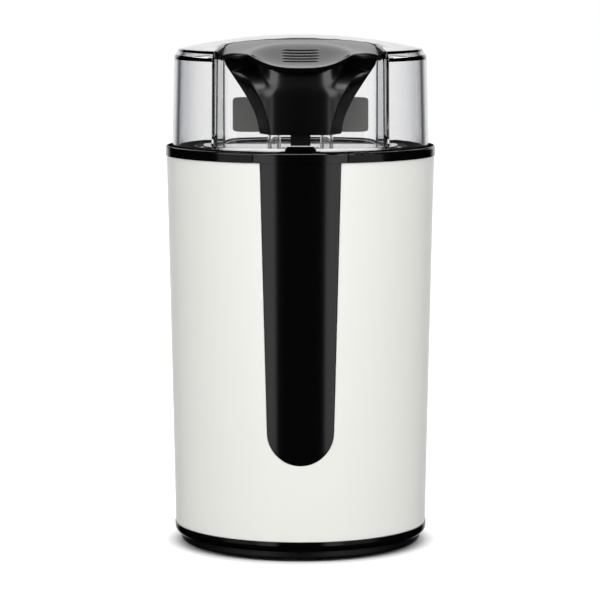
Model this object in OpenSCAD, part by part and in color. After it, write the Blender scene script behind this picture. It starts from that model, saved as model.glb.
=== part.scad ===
// Electric spice grinder: a tapered enamelled sleeve on a moulded housing, a steel bowl with a
// two-armed blade, a universal motor below it, and a clear lid that carries a press lever.
// Millimetres, +Z up, front towards -Y, origin on the table under the motor shaft.

/* [Sleeve and collar] */
// How much narrower the sleeve is at its lower edge than at its upper edge
sleeve_taper = 2.7; // [0:0.1:4]
// Length of the sleeve
sleeve_h = 135.7; // [132:0.1:150]
// Thickness of the sleeve's sheet
sleeve_t = 0.6; // [0.4:0.1:1]
// Gap between the sleeve and the housing inside it
sleeve_gap = 0.25; // [0.1:0.05:0.4]
// How far the collar stands out past the sleeve
collar_over = 0.35; // [0.1:0.05:1]
// Height of the collar that shows above the sleeve
collar_h = 3.6; // [3.2:0.1:5]
// Rounding of the collar's upper edge
collar_round = 0.8; // [0.3:0.1:1.2]
// Half the distance between the two joint lines on the collar's front
collar_line_x = 16.8; // [12:0.1:24]

/* [Front strip] */
// Half the width of the sleeve's slot at its upper end
slot_top_w = 14.4; // [12:0.1:16]
// Radius of the slot's round lower end
slot_end_r = 12.0; // [10:0.1:12.4]
// Height of the slot's lowest point above the sleeve's lower edge
slot_low = 27.7; // [20:0.1:40]
// Gap all round between the strip and the slot
strip_gap = 0.3; // [0.2:0.05:0.5]
// How far the strip stands out past the sleeve
strip_proud = 0.15; // [0:0.05:0.3]
// Radius of the pegs behind the strip
peg_r = 1.8; // [1.2:0.1:2.5]

/* [Housing and base] */
// Wall of the inner housing
house_t = 2.0; // [1.6:0.1:2.4]
// Thickness of the deck that carries the bowl and the motor
deck_t = 3.0; // [2.6:0.1:4]
// How far the housing's lip stands out past the sleeve's lower edge
lip_over = 0.3; // [0:0.1:1]
// Height of the housing's lip
lip_h = 3.8; // [3.2:0.1:6]
// Rounding under the lip
lip_round = 2.4; // [1:0.1:2.6]
// How far the base cover's rim stands back from the lip
base_inset = 2.3; // [1.2:0.1:2.6]
// Height of the base cover's rim
base_h = 2.9; // [2.6:0.1:4]
// Rounding of the base cover's lower edge
base_round = 1.2; // [0.5:0.1:1.6]
// Height of the spigot that centres the base cover in the housing
base_spigot_h = 3.0; // [2:0.1:5]
// Width of one air slot in the base cover
vent_w = 2.4; // [1.6:0.1:2.8]
// Distance between two air slots
vent_pitch = 5.0; // [4.5:0.1:6]
// Radius of the area with air slots
vent_area_r = 19.0; // [14:0.5:21]
// How far the rubber feet stand out under the base cover
foot_proud = 0.8; // [0.4:0.1:2]
// Radius of one rubber foot
foot_r = 5.0; // [3.5:0.1:5.4]
// Distance of the feet's middles from the base cover's edge
foot_inset = 12.8; // [11:0.1:14]
// Depth of the pocket that holds a foot
foot_pocket = 1.4; // [0.8:0.1:1.6]

/* [Bowl and blade] */
// Inner radius of the bowl at its mouth, from which the object's other radii follow
bowl_r = 36.0; // [32:0.1:40]
// How much narrower the bowl is near its floor
bowl_taper = 1.4; // [1:0.1:3]
// Depth of the bowl
bowl_depth = 46.0; // [42:0.1:48]
// Thickness of the bowl's sheet
bowl_t = 0.6; // [0.5:0.1:0.8]
// Rounding between the bowl's wall and its floor
bowl_round = 8.0; // [4:0.5:10]
// Depth of the bowl's flange under the top of the collar
bowl_drop = 1.2; // [0.8:0.1:1.6]
// Width of the bowl's flange
flange_w = 2.4; // [1.6:0.1:2.4]
// Thickness of the rubber ring under the flange
gasket_t = 0.8; // [0.5:0.1:1]
// Distance from the shaft to a blade tip
blade_r = 28.0; // [22:0.5:31]
// Width of a blade arm at the hub
blade_w = 13.0; // [9:0.5:15]
// Thickness of the blade's steel
blade_t = 1.4; // [1:0.1:2]
// Height of the blade above the bowl's floor
blade_lift = 6.4; // [5:0.1:9]
// Drop of the blade's arms below its centre
blade_dip = 2.4; // [1:0.1:3]
// Height of the blade's nut
nut_h = 3.4; // [2.4:0.1:4.5]

/* [Motor] */
// Radius of the motor shaft
shaft_r = 2.5; // [2:0.1:3]
// Width of the stator's laminations, side to side
stator_w = 48; // [46:0.5:52]
// Depth of the stator's laminations, front to back
stator_d = 44; // [42:0.5:46]
// Height of the stack of laminations
stack_h = 24; // [18:0.5:26]
// Radius of the armature's laminations
armature_r = 12.3; // [12:0.1:12.6]
// Air gap between armature and stator
air_gap = 0.5; // [0.4:0.05:0.8]
// Height of the rubber mounts between motor and deck
mount_h = 4.0; // [3:0.1:5]
// Radius of a rubber mount
mount_r = 4.6; // [4:0.1:5.4]
// Distance of the rubber mounts from the shaft
mount_y = 17.5; // [16:0.5:19]
// Thickness of the brackets' plates
bracket_t = 3.0; // [2.4:0.1:4]
// Distance from the upper plate down to the stator
upper_leg_h = 14.0; // [12:0.5:16]
// Distance from the stator down to the lower plate
lower_leg_h = 19.5; // [18.5:0.5:21]
// Outer radius of the two shaft bushes
bush_r = 5.0; // [4.2:0.1:5.4]
// Radius of the commutator
commutator_r = 6.0; // [5.4:0.1:6.6]
// How far the cooling fan's edge stands back from the stator's side
fan_inset = 1.0; // [1:0.5:5]
// Height of the cooling fan's blades
fan_h = 7.0; // [5:0.5:8]

/* [Lid] */
// Height of the lid above the collar
lid_h = 40.2; // [38:0.1:48]
// How far the lid's lower edge stands back from the sleeve's upper edge
lid_inset = 2.1; // [1.4:0.1:2.6]
// How much narrower the lid is where its wall ends
lid_taper = 0.8; // [0.5:0.1:0.9]
// Radius of the sphere that the domed top belongs to
dome_r = 196; // [150:1:260]
// Height of the sloped edge between wall and dome
lid_edge_h = 2.7; // [2:0.1:4]
// Width of the sloped edge between wall and dome
lid_edge_w = 1.7; // [1:0.1:2.6]
// Wall of the lid
lid_t = 2.2; // [1.8:0.1:2.4]
// Thickness of the floor of the lid's notch
web_t = 1.4; // [1.2:0.1:1.8]
// Height of the lid's spigot inside the bowl
spigot_h = 5.8; // [3:0.1:8]
// Wall of the lid's spigot
spigot_t = 1.8; // [1.4:0.1:2.2]
// Depth of the notch in the lid, front to back
notch_depth = 28.1; // [27:0.1:29]
// How much less than the lid's radius half the notch's width is at its back wall
notch_side = 18.9; // [18:0.1:19.3]
// Outward slope of the notch's sides, in degrees
notch_flare = 14.2; // [10:0.1:15]
// Rounding of the notch's two back corners
notch_round = 5.0; // [3:0.1:5.4]
// Wall around the notch
notch_t = 2.0; // [1.6:0.1:2.2]

/* [Press lever] */
// Travel of the lever
press_travel = 3.0; // [2:0.1:3.2]
// Gap all round between lever and notch
lever_gap = 0.4; // [0.3:0.05:0.5]
// Wall of the lever
lever_t = 1.8; // [1.5:0.1:1.9]
// How far the lever's front lip stands out past the lid's wall
lip_stands = 0.2; // [0:0.1:0.5]
// Distance of the lever's front face from the switch rod's axis
face_out = 3.2; // [2.8:0.1:3.6]
// Height of the lever's lower edge above the collar
lever_low = 5.9; // [5.6:0.1:7]
// Height of the wings' underside above the collar
wing_low = 32.3; // [31:0.1:33]
// Half the width of the front face at its lower edge
face_low_w = 10.6; // [9.8:0.1:11.4]
// Radius of the curve in which the face widens upwards
face_curve_r = 40; // [34:1:46]
// Slope of the face's edge at its lower end, in degrees
face_low_slope = 6; // [3:0.5:9]
// Slope of the face's edge above the curve, in degrees
face_top_slope = 38; // [33:0.5:40]
// Angle at which the lever's sides run backwards, in degrees
side_angle = 29; // [24:1:32]
// Depth of the lever's skirt, front to back
skirt_depth = 9.5; // [8:0.1:10]
// Depth of the thumb dish at the front lip, below the lid's top
dish_drop = 10.4; // [8:0.1:11]
// Radius of the thumb dish
dish_r = 41; // [34:1:50]
// Width of the tongue that reaches the switch rod
tongue_w = 7.0; // [5:0.1:7.4]
// Thickness of the tongue, front to back
tongue_t = 2.4; // [1.8:0.1:2.6]
// Distance of the guide plate's ends from the notch's corners
guide_side = 2.8; // [2.6:0.1:7]
// Thickness of the guide plate
guide_t = 1.8; // [1.4:0.1:2.2]
// Distance of the two guide posts from the middle
post_x = 9.3; // [8.8:0.1:9.4]
// Distance of the two guide posts from the switch rod's axis, front to back
post_back = 4.2; // [4:0.1:4.6]
// Radius of a guide post
post_r = 2.3; // [2.1:0.1:2.35]
// Height of a guide post above the lid's web
post_h = 12.0; // [9:0.5:14]
// Radius of the lever's guide pegs
guide_peg_r = 1.2; // [1:0.1:1.3]
// Half the width of the thumb rest
thumb_w = 9.0; // [6:0.5:10]
// Number of grip ribs on the thumb rest
thumb_ribs = 5; // [3:1:7]
// Distance between two grip ribs
thumb_pitch = 2.2; // [1.8:0.1:2.4]

/* [Boss and switch] */
// Width of the boss on the collar
boss_w = 11.0; // [10.4:0.1:11.4]
// Height of the boss
boss_h = 1.7; // [1.5:0.1:2.2]
// Gap between the bowl's flange and the switch rod
rod_clear = 0.2; // [0.2:0.05:0.6]
// Distance from the switch rod's axis to the sleeve's outer face
rod_depth = 7.8; // [7.6:0.1:9]
// Gap between the rod and its slot
rod_gap = 0.2; // [0.1:0.05:0.3]
// Radius of the switch rod's round part
rod_r = 2.0; // [1.6:0.1:2.1]
// Height of the rod's guide under the collar
rod_guide_h = 7.2; // [6:0.1:9]
// Length of the switch body
switch_l = 20; // [18:0.5:20.5]
// Thickness of the switch body
switch_t = 6.4; // [5.6:0.1:6.8]
// Height of the switch body
switch_h = 10.5; // [9.5:0.5:12]
// Length of the switch's leaf from its pivot to its tip
leaf_l = 16.0; // [14:0.5:17]
// Radius of the wire of the springs
wire_r = 0.35; // [0.25:0.05:0.4]

/* [Cord inlet] */
// Height of the cord inlet above the table
cord_z = 17.0; // [16:0.1:18]
// Radius of the hole for the cord
cord_r = 3.4; // [3:0.1:3.6]
// Radius of the inlet's flange
gland_flange_r = 7.4; // [7:0.1:8]
// Radius of the inlet's barrel
gland_r = 5.8; // [5.4:0.1:6]

/* [Screws] */
// Radius of the screws
screw_r = 1.5; // [1.2:0.1:1.6]
// Radius of the screws' heads
head_r = 2.8; // [2.4:0.1:3]
// Height of the screws' heads
head_h = 1.6; // [1.2:0.1:1.8]

/* [Fits] */
// Radial clearance of a running fit
fit = 0.05; // [0.02:0.01:0.08]
// Clearance between faces of pieces that move past each other
free = 0.3; // [0.25:0.05:0.35]

/* [Hidden] */
$fn = 96;

black = "#1b1b1b";
grey = "#5a5a58";
enamel = "#e8e9e4";
steel = "#b9bcbf";
copper = "#b3642f";
brass = "#c8a24a";

// A small overlap for cuts, so that no cut ends in a face it should remove
cut = 0.5;
// Gap at the ends of a spring
spring_gap = 0.1;
// Overlap of solids that are joined into one
weld = 0.1;
// Radial clearance round a screw's head, or round a piece in a hole that it is pushed into
slack = 0.2;
// Long enough to cut through the whole object
through = 200;

// Heights from the table upwards
base_z = foot_proud;
lip_z = base_z + base_h;
sleeve_z = lip_z + lip_h;
collar_z = sleeve_z + sleeve_h;
rim_z = collar_z + collar_h;
lid_z = rim_z + lid_h;

// Radii from the bowl outwards: its flange, the switch rod beside it, the sleeve, and what
// stands on and under the sleeve
flange_r = bowl_r + bowl_t + flange_w;
bowl_low_r = bowl_r - bowl_taper;
push_y = flange_r + rod_r + rod_clear;
sleeve_top_r = push_y + rod_depth;
sleeve_low_r = sleeve_top_r - sleeve_taper;
lip_r = sleeve_low_r + lip_over;
base_r = lip_r - base_inset;
foot_place_r = base_r - foot_inset;
lid_low_r = sleeve_top_r - lid_inset;
lid_top_r = lid_low_r - lid_taper;
notch_back = lid_top_r - notch_depth;
notch_back_w = lid_top_r - notch_side;
guide_w = notch_back_w - guide_side;
lever_lip_r = lid_top_r + lip_stands;
lever_face_r = push_y + face_out;
post_y = push_y - post_back;

// Depth of the housing's wall below the sleeve's outside
house_in = sleeve_t + sleeve_gap;
// Radius of the sleeve at a height
function sleeve_at(z) = sleeve_low_r + (z - sleeve_z) * (sleeve_top_r - sleeve_low_r) / sleeve_h;
// Radius of the housing's outer wall, and of its inner wall, at a height
function house_at(z) = sleeve_at(z) - house_in;
function inside_at(z) = house_at(z) - house_t;
// Points along an arc from angle a0 to angle a1
function arc(x, y, r, a0, a1, n = 10) =
    [for (i = [0 : n]) let (a = a0 + (a1 - a0) * i / n) [x + r * cos(a), y + r * sin(a)]];

collar_r = sleeve_top_r + collar_over;
collar_skirt_t = 2.0;
// Pegs behind the strip, measured from the sleeve's lower edge
peg_low = slot_low + 1.75 * slot_end_r;
peg_high = 0.86 * sleeve_h;
peg_heights = [peg_low, (peg_low + peg_high) / 2, peg_high];

// Bowl, from the collar downwards
flange_z = rim_z - bowl_drop - bowl_t;
gasket_z = flange_z - gasket_t;
bowl_floor_z = flange_z + bowl_t - bowl_depth;
deck_top_z = bowl_floor_z - bowl_t;
deck_z = deck_top_z - deck_t;
// Height of the rim that centres the upper housing on the deck
lap_h = 2;
seal_r = 5.9;
seal_flange_r = 7.4;
seal_flange_h = 1.4;
seal_drop = 1.6;
bowl_gap = 0.4;

// Motor, from the deck downwards
upper_plate_z = deck_z - mount_h - bracket_t;
stack_top_z = upper_plate_z - upper_leg_h;
stack_z = stack_top_z - stack_h;
lower_plate_z = stack_z - lower_leg_h;
bush_sink = 2.0;
bush_proud = 0.8;
fan_disc_t = 1.2;
fan_top_z = lower_plate_z - 2.6;
fan_clip_t = 0.8;
shaft_end = 3.0;
fan_z = fan_top_z - fan_disc_t - fan_h;
fan_r = stator_w / 2 - fan_inset;
bolt_x = stator_w / 2 - 4;
bolt_y = stator_d / 2 - 4;
leg_r = 3.4;
cross_w = 8;
tower_t = 5;
bore_r = armature_r + air_gap;
pole_w = 7.5;
window_rim = 2.5;
window_x = bolt_x - window_rim;
window_in_x = 10;
window_y = bolt_y - window_rim / 5;
coil_gap = 0.3;
coil_t = 5.4;
coil_x = 11.2;
coil_w = window_x - coil_x - coil_gap - slack;
coil_round = 4;
end_turn_h = 5.6;
commutator_h = 9.5;
commutator_z = stack_z - end_turn_h - commutator_h;
brush_w = 5.0;
brush_t = 5.6;
brush_l = 9.0;
brush_z = commutator_z + commutator_h / 2;
holder_t = 0.8;
holder_l = 15.0;
holder_x = commutator_r + 1.5;
holder_out_w = brush_w + 2 * fit + 2 * holder_t;
holder_out_t = brush_t + 2 * fit + 2 * holder_t;
tower_x = holder_x + holder_l - 2;
armature_slots = 12;
slot_place_r = armature_r - 2.9;
slot_r = 1.6;
winding_r = armature_r - 2.3;
nut_t = 2.4;

// Blade, from the bowl's floor upwards
hub_r = 6.0;
hub_z = bowl_floor_z + seal_flange_h + 0.5;
blade_z = bowl_floor_z + blade_lift;
nut_z = blade_z + blade_t;
nut_r = 4.6;

// Lid
dome_z = lid_z - dome_r;
function dome_at(r) = dome_z + sqrt(dome_r * dome_r - r * r);
web_z = rim_z;
spigot_r = bowl_r - bowl_gap;
notch_front = 60;
lid_edge_z = dome_at(lid_top_r - lid_edge_w) - lid_edge_h;

// Press lever
lever_z = rim_z + lever_low;
wing_z = rim_z + wing_low;
dish_z = lid_z - dish_drop;
dish_back = notch_back + 1.0;
dish_angle = atan((dome_at(dish_back) - dish_z) / (lever_lip_r - dish_back));
neck_w = notch_back_w - 2 * lever_gap;
side_y = -(lever_face_r - 1.3);
lever_floor = 1.5;
guide_y = -notch_back - lever_gap;
post_top_z = web_z + web_t + post_h;
peg_seat_z = wing_z - 4.6;
peg_seat_r = 2.8;
peg_low_z = web_z + web_t + press_travel + 2;
thumb_t = 0.9;
thumb_l = 6.5;
thumb_in = 11.8;
thumb_y = -(lever_lip_r - thumb_in);
boss_top_z = rim_z + boss_h;
boss_out = 5.2;
boss_front = push_y + boss_out;
boss_slot_w = boss_w + 2.4;
tongue_z = boss_top_z + 0.5;
tongue_head = 1.6;
rod_top_z = tongue_z - free;

// Switch rod and switch
rod_guide_z = collar_z - rod_guide_h;
rod_flange_t = 2.0;
rod_flange_z = rod_guide_z - free - rod_flange_t;
rod_flange_r = 3.3;
nose_z = deck_z - 2.0;
pivot_x = -10;
leaf_t = 0.5;
leaf_w = 4.8;
leaf_angle = asin(press_travel / -pivot_x);
pivot_z = nose_z - free - leaf_t / 2 / cos(leaf_angle) + pivot_x * tan(leaf_angle);
switch_top_z = pivot_z - 1.2;
switch_z = switch_top_z - switch_h;
switch_low_x = pivot_x - 2;
switch_mid_x = switch_low_x + switch_l / 2;
switch_y = -push_y + 1.6;
pin_r = 0.6;
curl_r = 1.0;
button_x = pivot_x + 5;
button_w = 2.0;
button_rise = 0.65;
button_d = 1.5;
ear_w = 2.8;
terminal_l = 5.0;
switch_hole_x = 5.5;
switch_hole_z = 3.0;
plate_t = 1.5;
flange_l = 8.0;
bracket_screw_x = 6;
bracket_screw_y = switch_y + switch_t / 2 + flange_l / 2 + 0.6;

cord_y = sleeve_at(cord_z);
gland_out = 2.3;
gland_in = 7;
gland_in_y = cord_y - gland_in;
// Plate that carries the cord inlet, wider than the gland's flange by a rim
inlet_rim = 1.8;
inlet_w = 2 * (gland_flange_r + inlet_rim);
inlet_top_z = cord_z + gland_flange_r + inlet_rim;
flange_sink = 3;
gland_snap_t = 1.8;
spigot_out_r = inside_at(lip_z) - 0.4;
spigot_wall = 1.6;
base_screw_l = 14;
clamp_x = 9;
clamp_in = 6.5;
clamp_y = gland_in_y - clamp_in;
clamp_z = cord_z + 2;
clamp_t = 3;
clamp_post_r = 3.2;
clamp_screw_l = 9;
base_piece_in = 18.3;
terminal_x = -(base_r - base_piece_in);
terminal_w = 9;
terminal_d = 24;
terminal_h = 9;
terminal_pitch = 8;
terminal_hole_r = 2;
terminal_z = lip_z + 3;
capacitor_x = base_r - base_piece_in;
capacitor_w = 7.5;
capacitor_d = 18;
capacitor_h = 13;
// Angles of the screws that hold the base cover, of the feet and of the collar's columns
base_screw_angles = [30, 150, 270];
base_screw_in = 5.9;
base_screw_place_r = base_r - base_screw_in;
base_boss_r = head_r + 0.8;
base_boss_h = 22;
foot_angles = [60, 120, 240, 300];
column_angles = [45, 135, 225, 315];
column_in = 7.6;
column_place_r = sleeve_top_r - column_in;
column_r = 2.8;
column_screw_l = 10;

// ---------------------------------------------------------------- shared shapes

// Cone that follows the sleeve's taper between two heights, smaller by an inset
module taper(z0, z1, inset) {
    translate([0, 0, z0])
        cylinder(h = z1 - z0, r1 = sleeve_at(z0) - inset, r2 = sleeve_at(z1) - inset);
}

// Tube on a vertical axis
module tube(h, r_out, r_in) {
    difference() {
        cylinder(h = h, r = r_out);
        translate([0, 0, -cut]) cylinder(h = h + 2 * cut, r = r_in);
    }
}

// Copies at equal distances from the shaft, one for each angle
module around(angles, r) {
    for (a = angles) rotate([0, 0, a]) translate([r, 0, 0]) children();
}

// Rectangle with round corners, centred
module round_rect(w, d, r) {
    square([w - 2 * r, d], center = true);
    square([w, d - 2 * r], center = true);
    for (x = [-1, 1], y = [-1, 1]) translate([x * (w / 2 - r), y * (d / 2 - r)]) circle(r = r);
}

// Ring with a rounded lower and upper outer edge, standing on z = 0
module round_ring(h, r_out, r_in, low_round, top_round) {
    rotate_extrude() difference() {
        translate([r_in, 0]) square([r_out - r_in, h]);
        if (low_round > 0) translate([r_out - low_round, 0]) difference() {
            translate([0, -cut]) square([low_round + cut, low_round + cut]);
            translate([0, low_round]) circle(r = low_round);
        }
        if (top_round > 0) translate([r_out - top_round, h - top_round]) difference() {
            square([top_round + cut, top_round + cut]);
            circle(r = top_round);
        }
    }
}

// Pan-head screw that points down from its head's underside at z = 0, with a cross recess
module screw(l) {
    arm_l = 0.6 * head_r;
    arm_w = 0.7;
    translate([0, 0, -l]) cylinder(h = l, r = screw_r);
    difference() {
        cylinder(h = head_h, r = head_r);
        for (a = [0, 90]) rotate([0, 0, a]) translate([-arm_l, -arm_w / 2, 0.4 * head_h])
            cube([2 * arm_l, arm_w, head_h]);
    }
}

// Outline of the sleeve's slot in front view, smaller by an inset: x across, y up
module slot_outline(inset) {
    run_out = 10;
    end_z = sleeve_z + slot_low + slot_end_r;
    top_z = collar_z + run_out;
    top_w = slot_top_w + (slot_top_w - slot_end_r) * (top_z - collar_z) / (collar_z - end_z);
    polygon([
        [-top_w + inset, top_z], [-slot_end_r + inset, end_z],
        [slot_end_r - inset, end_z], [top_w - inset, top_z],
    ]);
    translate([0, end_z]) circle(r = slot_end_r - inset);
}

// Slot of the sleeve as a solid that points to the front
module slot_cut(inset) {
    rotate([90, 0, 0]) linear_extrude(height = through) slot_outline(inset);
}

// Outline of the lid's notch in plan, smaller by an inset: it widens to the front
module notch_outline(inset) {
    r = notch_round - inset;
    corner_x = notch_back_w - notch_round;
    corner_y = -notch_back - notch_round;
    side_x = corner_x + r * cos(notch_flare);
    side_y = corner_y - r * sin(notch_flare);
    front_x = side_x + (notch_front + side_y) * tan(notch_flare);
    polygon(concat(
        [[front_x, -notch_front]],
        arc(corner_x, corner_y, r, -notch_flare, 90),
        arc(-corner_x, corner_y, r, 90, 180 + notch_flare),
        [[-front_x, -notch_front]]
    ));
}

// Part of the notch between two heights
module notch_prism(inset, z0, z1) {
    translate([0, 0, z0]) linear_extrude(height = z1 - z0) notch_outline(inset);
}

// Helical spring on a vertical axis that stands on z = 0
module coil_spring(r, h, turns) {
    sides = 8;
    steps_per_turn = 14;
    steps = turns * steps_per_turn;
    rise = (h - 2 * wire_r) / steps;
    points = [
        for (i = [0 : steps]) let (a = 360 * i * turns / steps)
            for (k = [0 : sides - 1]) let (b = 360 * k / sides, q = r + wire_r * cos(b))
                [q * cos(a), q * sin(a), wire_r + rise * i + wire_r * sin(b)],
    ];
    walls = [
        for (i = [0 : steps - 1], k = [0 : sides - 1]) let (n = (k + 1) % sides)
            [i * sides + k, (i + 1) * sides + k, (i + 1) * sides + n, i * sides + n],
    ];
    first = [for (k = [0 : sides - 1]) k];
    last = [for (k = [sides - 1 : -1 : 0]) steps * sides + k];
    polyhedron(points = points, faces = concat(walls, [first, last]), convexity = 10);
}

// ---------------------------------------------------------------- sleeve, strip and housing

module outer_sleeve() {
    color(enamel) difference() {
        taper(sleeve_z, collar_z, 0);
        taper(sleeve_z - cut, collar_z + cut, sleeve_t);
        slot_cut(0);
        cord_hole(gland_r + weld);
    }
}

module front_strip() {
    color(black) {
        intersection() {
            difference() {
                taper(sleeve_z, collar_z, -strip_proud);
                taper(sleeve_z - cut, collar_z + cut, house_in - fit);
            }
            slot_cut(strip_gap);
        }
        strip_pegs(peg_r);
    }
}

// Pegs that hold the strip in the housing's wall
module strip_pegs(r) {
    intersection() {
        difference() {
            taper(sleeve_z, collar_z, house_in - fit - weld);
            taper(sleeve_z - cut, collar_z + cut, house_in + house_t);
        }
        for (h = peg_heights) translate([0, 0, sleeve_z + h])
            rotate([90, 0, 0]) cylinder(h = through, r = r);
    }
}

// Hole for the cord inlet, through the back of whatever it is cut from
module cord_hole(r) {
    along_cord(0, through, r);
}

// Wall of the housing below the bowl, with its lip and the rim that centres the upper housing
module lower_wall() {
    difference() {
        union() {
            taper(sleeve_z - cut, deck_top_z, house_in);
            translate([0, 0, lip_z]) round_ring(lip_h, lip_r, 0, lip_round, 0);
            taper(deck_top_z - cut, deck_top_z + lap_h, house_in + house_t / 2 + fit);
        }
        taper(lip_z - cut, deck_top_z + lap_h + cut, house_in + house_t);
    }
}

// Gap in the back of the lower wall, open below, that the inlet plate fills
module inlet_gap() {
    translate([-inlet_w / 2, 0, lip_z - cut]) cube([inlet_w, through, inlet_top_z - lip_z + cut]);
}

module inner_housing() {
    color(black) difference() {
        union() {
            lower_wall();
            taper(deck_z, deck_top_z, house_in + house_t / 2);
            intersection() {
                taper(lip_z, lip_z + base_boss_h, house_in + house_t / 2);
                around(base_screw_angles, base_screw_place_r) translate([0, 0, lip_z]) base_boss();
            }
        }
        // Shaft seal, motor screws, collar screws and switch rod pass through the deck
        deck_hole(seal_r + weld);
        translate([0, -push_y, 0]) deck_hole(rod_r + fit);
        for (y = [-1, 1]) translate([0, y * mount_y, 0]) {
            deck_hole(screw_r + fit);
            translate([0, 0, deck_top_z - head_h - slack])
                cylinder(h = head_h + cut, r = head_r + slack);
        }
        around(column_angles, column_place_r) deck_hole(screw_r + fit);
        for (x = [-1, 1]) translate([switch_mid_x + x * bracket_screw_x, bracket_screw_y, 0])
            deck_hole(screw_r + fit);
        around(base_screw_angles, base_screw_place_r)
            translate([0, 0, lip_z - cut]) cylinder(h = base_screw_l + cut, r = screw_r + fit);
        strip_pegs(peg_r + fit);
        inlet_gap();
    }
}

// Tube that the collar's screws clamp between the collar and the deck
module upper_housing() {
    color(black) difference() {
        taper(deck_top_z, collar_z, house_in);
        taper(deck_top_z - cut, collar_z + cut, house_in + house_t);
        taper(deck_top_z - cut, deck_top_z + lap_h, house_in + house_t / 2);
        strip_pegs(peg_r + fit);
    }
}

module inlet_plate() {
    color(black) difference() {
        intersection() {
            lower_wall();
            inlet_gap();
        }
        cord_hole(gland_r + weld);
    }
}

// Round hole through the deck
module deck_hole(r) {
    translate([0, 0, deck_z - cut]) cylinder(h = deck_t + 2 * cut, r = r);
}

// Boss for a screw of the base cover, with the rib that joins it to the wall
module base_boss() {
    rib_t = 2;
    cylinder(h = base_boss_h, r = base_boss_r);
    translate([0, -rib_t / 2, 0]) cube([2 * base_boss_r, rib_t, base_boss_h]);
}

// ---------------------------------------------------------------- collar

// Slot in which the lever's tongue and the switch rod slide
module rod_slot() {
    w = tongue_w + 2 * rod_gap;
    d = tongue_t + 2 * rod_gap;
    translate([-w / 2, -push_y - d / 2, rod_guide_z - cut]) cube([w, d, through]);
}

// Boss on the collar in which the rod's slot opens
module collar_boss() {
    r = 1.0;
    d = boss_front - flange_r;
    translate([0, -flange_r, rim_z - r]) rotate([90, 0, 0]) linear_extrude(height = d)
        translate([0, (boss_h + r) / 2]) round_rect(boss_w, boss_h + r, r);
}

// Joint lines on the collar's front
module collar_lines() {
    line_w = 0.4;
    line_d = 0.35;
    front_y = sqrt(pow(collar_r, 2) - pow(collar_line_x, 2));
    for (x = [-1, 1])
        translate([x * collar_line_x - line_w / 2, -front_y - cut, collar_z - cut])
            cube([line_w, cut + line_d, collar_h + 2 * cut]);
}

module top_collar() {
    skirt_r = inside_at(rod_guide_z) - free;
    skirt_h = collar_z - rod_guide_z + cut;
    block_w = tongue_w + 5;
    color(black) difference() {
        union() {
            translate([0, 0, collar_z]) round_ring(collar_h, collar_r, 0, 0, collar_round);
            collar_boss();
            translate([0, 0, rod_guide_z]) tube(skirt_h, skirt_r, skirt_r - collar_skirt_t);
            intersection() {
                translate([-block_w / 2, -skirt_r, rod_guide_z]) cube([block_w, skirt_r, skirt_h]);
                translate([0, 0, rod_guide_z]) cylinder(h = through, r = skirt_r);
            }
            around(column_angles, column_place_r) translate([0, 0, deck_top_z])
                cylinder(h = collar_z - deck_top_z + cut, r = column_r);
        }
        translate([0, 0, deck_top_z - cut]) cylinder(h = through, r = bowl_r + bowl_t + bowl_gap);
        translate([0, 0, gasket_z]) cylinder(h = through, r = flange_r + free);
        rod_slot();
        around(column_angles, column_place_r) translate([0, 0, deck_top_z - cut])
            cylinder(h = column_screw_l + 2 + cut, r = screw_r + fit);
        collar_lines();
    }
}

module collar_screws() {
    color(steel) around(column_angles, column_place_r)
        translate([0, 0, deck_z]) mirror([0, 0, 1]) screw(deck_t + column_screw_l);
}

// ---------------------------------------------------------------- base

module base_cover() {
    vents = floor(vent_area_r / vent_pitch);
    boss_space = base_boss_r + 0.6;
    saddle_t = 4;
    color(black) difference() {
        union() {
            translate([0, 0, base_z]) round_ring(base_h, base_r, 0, base_round, 0);
            difference() {
                translate([0, 0, lip_z - cut])
                    tube(base_spigot_h + cut, spigot_out_r, spigot_out_r - spigot_wall);
                around(base_screw_angles, base_screw_place_r)
                    translate([-boss_space, -boss_space, lip_z])
                        cube([3 * boss_space, 2 * boss_space, through]);
            }
            for (x = [-1, 1]) translate([x * clamp_x, clamp_y, lip_z - cut])
                cylinder(h = clamp_z - lip_z + cut, r = clamp_post_r);
            translate([-clamp_x, clamp_y - saddle_t / 2, lip_z - cut])
                cube([2 * clamp_x, saddle_t, cord_z - cord_r / 2 - lip_z + cut]);
        }
        cord_channel();
        for (x = [-1, 1]) translate([x * clamp_x, clamp_y, clamp_z - clamp_screw_l + clamp_t - cut])
            cylinder(h = clamp_screw_l, r = screw_r + fit);
        around(base_screw_angles, base_screw_place_r) {
            translate([0, 0, base_z - cut]) cylinder(h = base_h + 2 * cut, r = screw_r + fit);
            translate([0, 0, base_z - cut]) cylinder(h = head_h + slack + cut, r = head_r + slack);
        }
        around(foot_angles, foot_place_r)
            translate([0, 0, base_z - cut]) cylinder(h = foot_pocket + cut, r = foot_r + fit);
        // Slots that let the cooling air in
        for (i = [-vents : vents]) let (half = sqrt(pow(vent_area_r, 2) - pow(i * vent_pitch, 2)))
            if (half > vent_w) translate([0, i * vent_pitch, base_z - cut])
                linear_extrude(height = base_h + 2 * cut) vent(half);
    }
}

// Outline of one air slot with round ends
module vent(half) {
    square([2 * half - vent_w, vent_w], center = true);
    for (x = [-1, 1]) translate([x * (half - vent_w / 2), 0]) circle(d = vent_w);
}

// Space that the cord takes between clamp and saddle
module cord_channel() {
    l = 5 * clamp_post_r;
    along_cord(clamp_y - l / 2, l, cord_r + slack);
}

module base_screws() {
    color(steel) around(base_screw_angles, base_screw_place_r)
        translate([0, 0, base_z + head_h + slack]) mirror([0, 0, 1]) screw(base_screw_l);
}

module rubber_feet() {
    low_round = 0.4;
    color("#2a2a2a") around(foot_angles, foot_place_r)
        round_ring(foot_proud + foot_pocket, foot_r, 0, low_round, 0);
}

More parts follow.
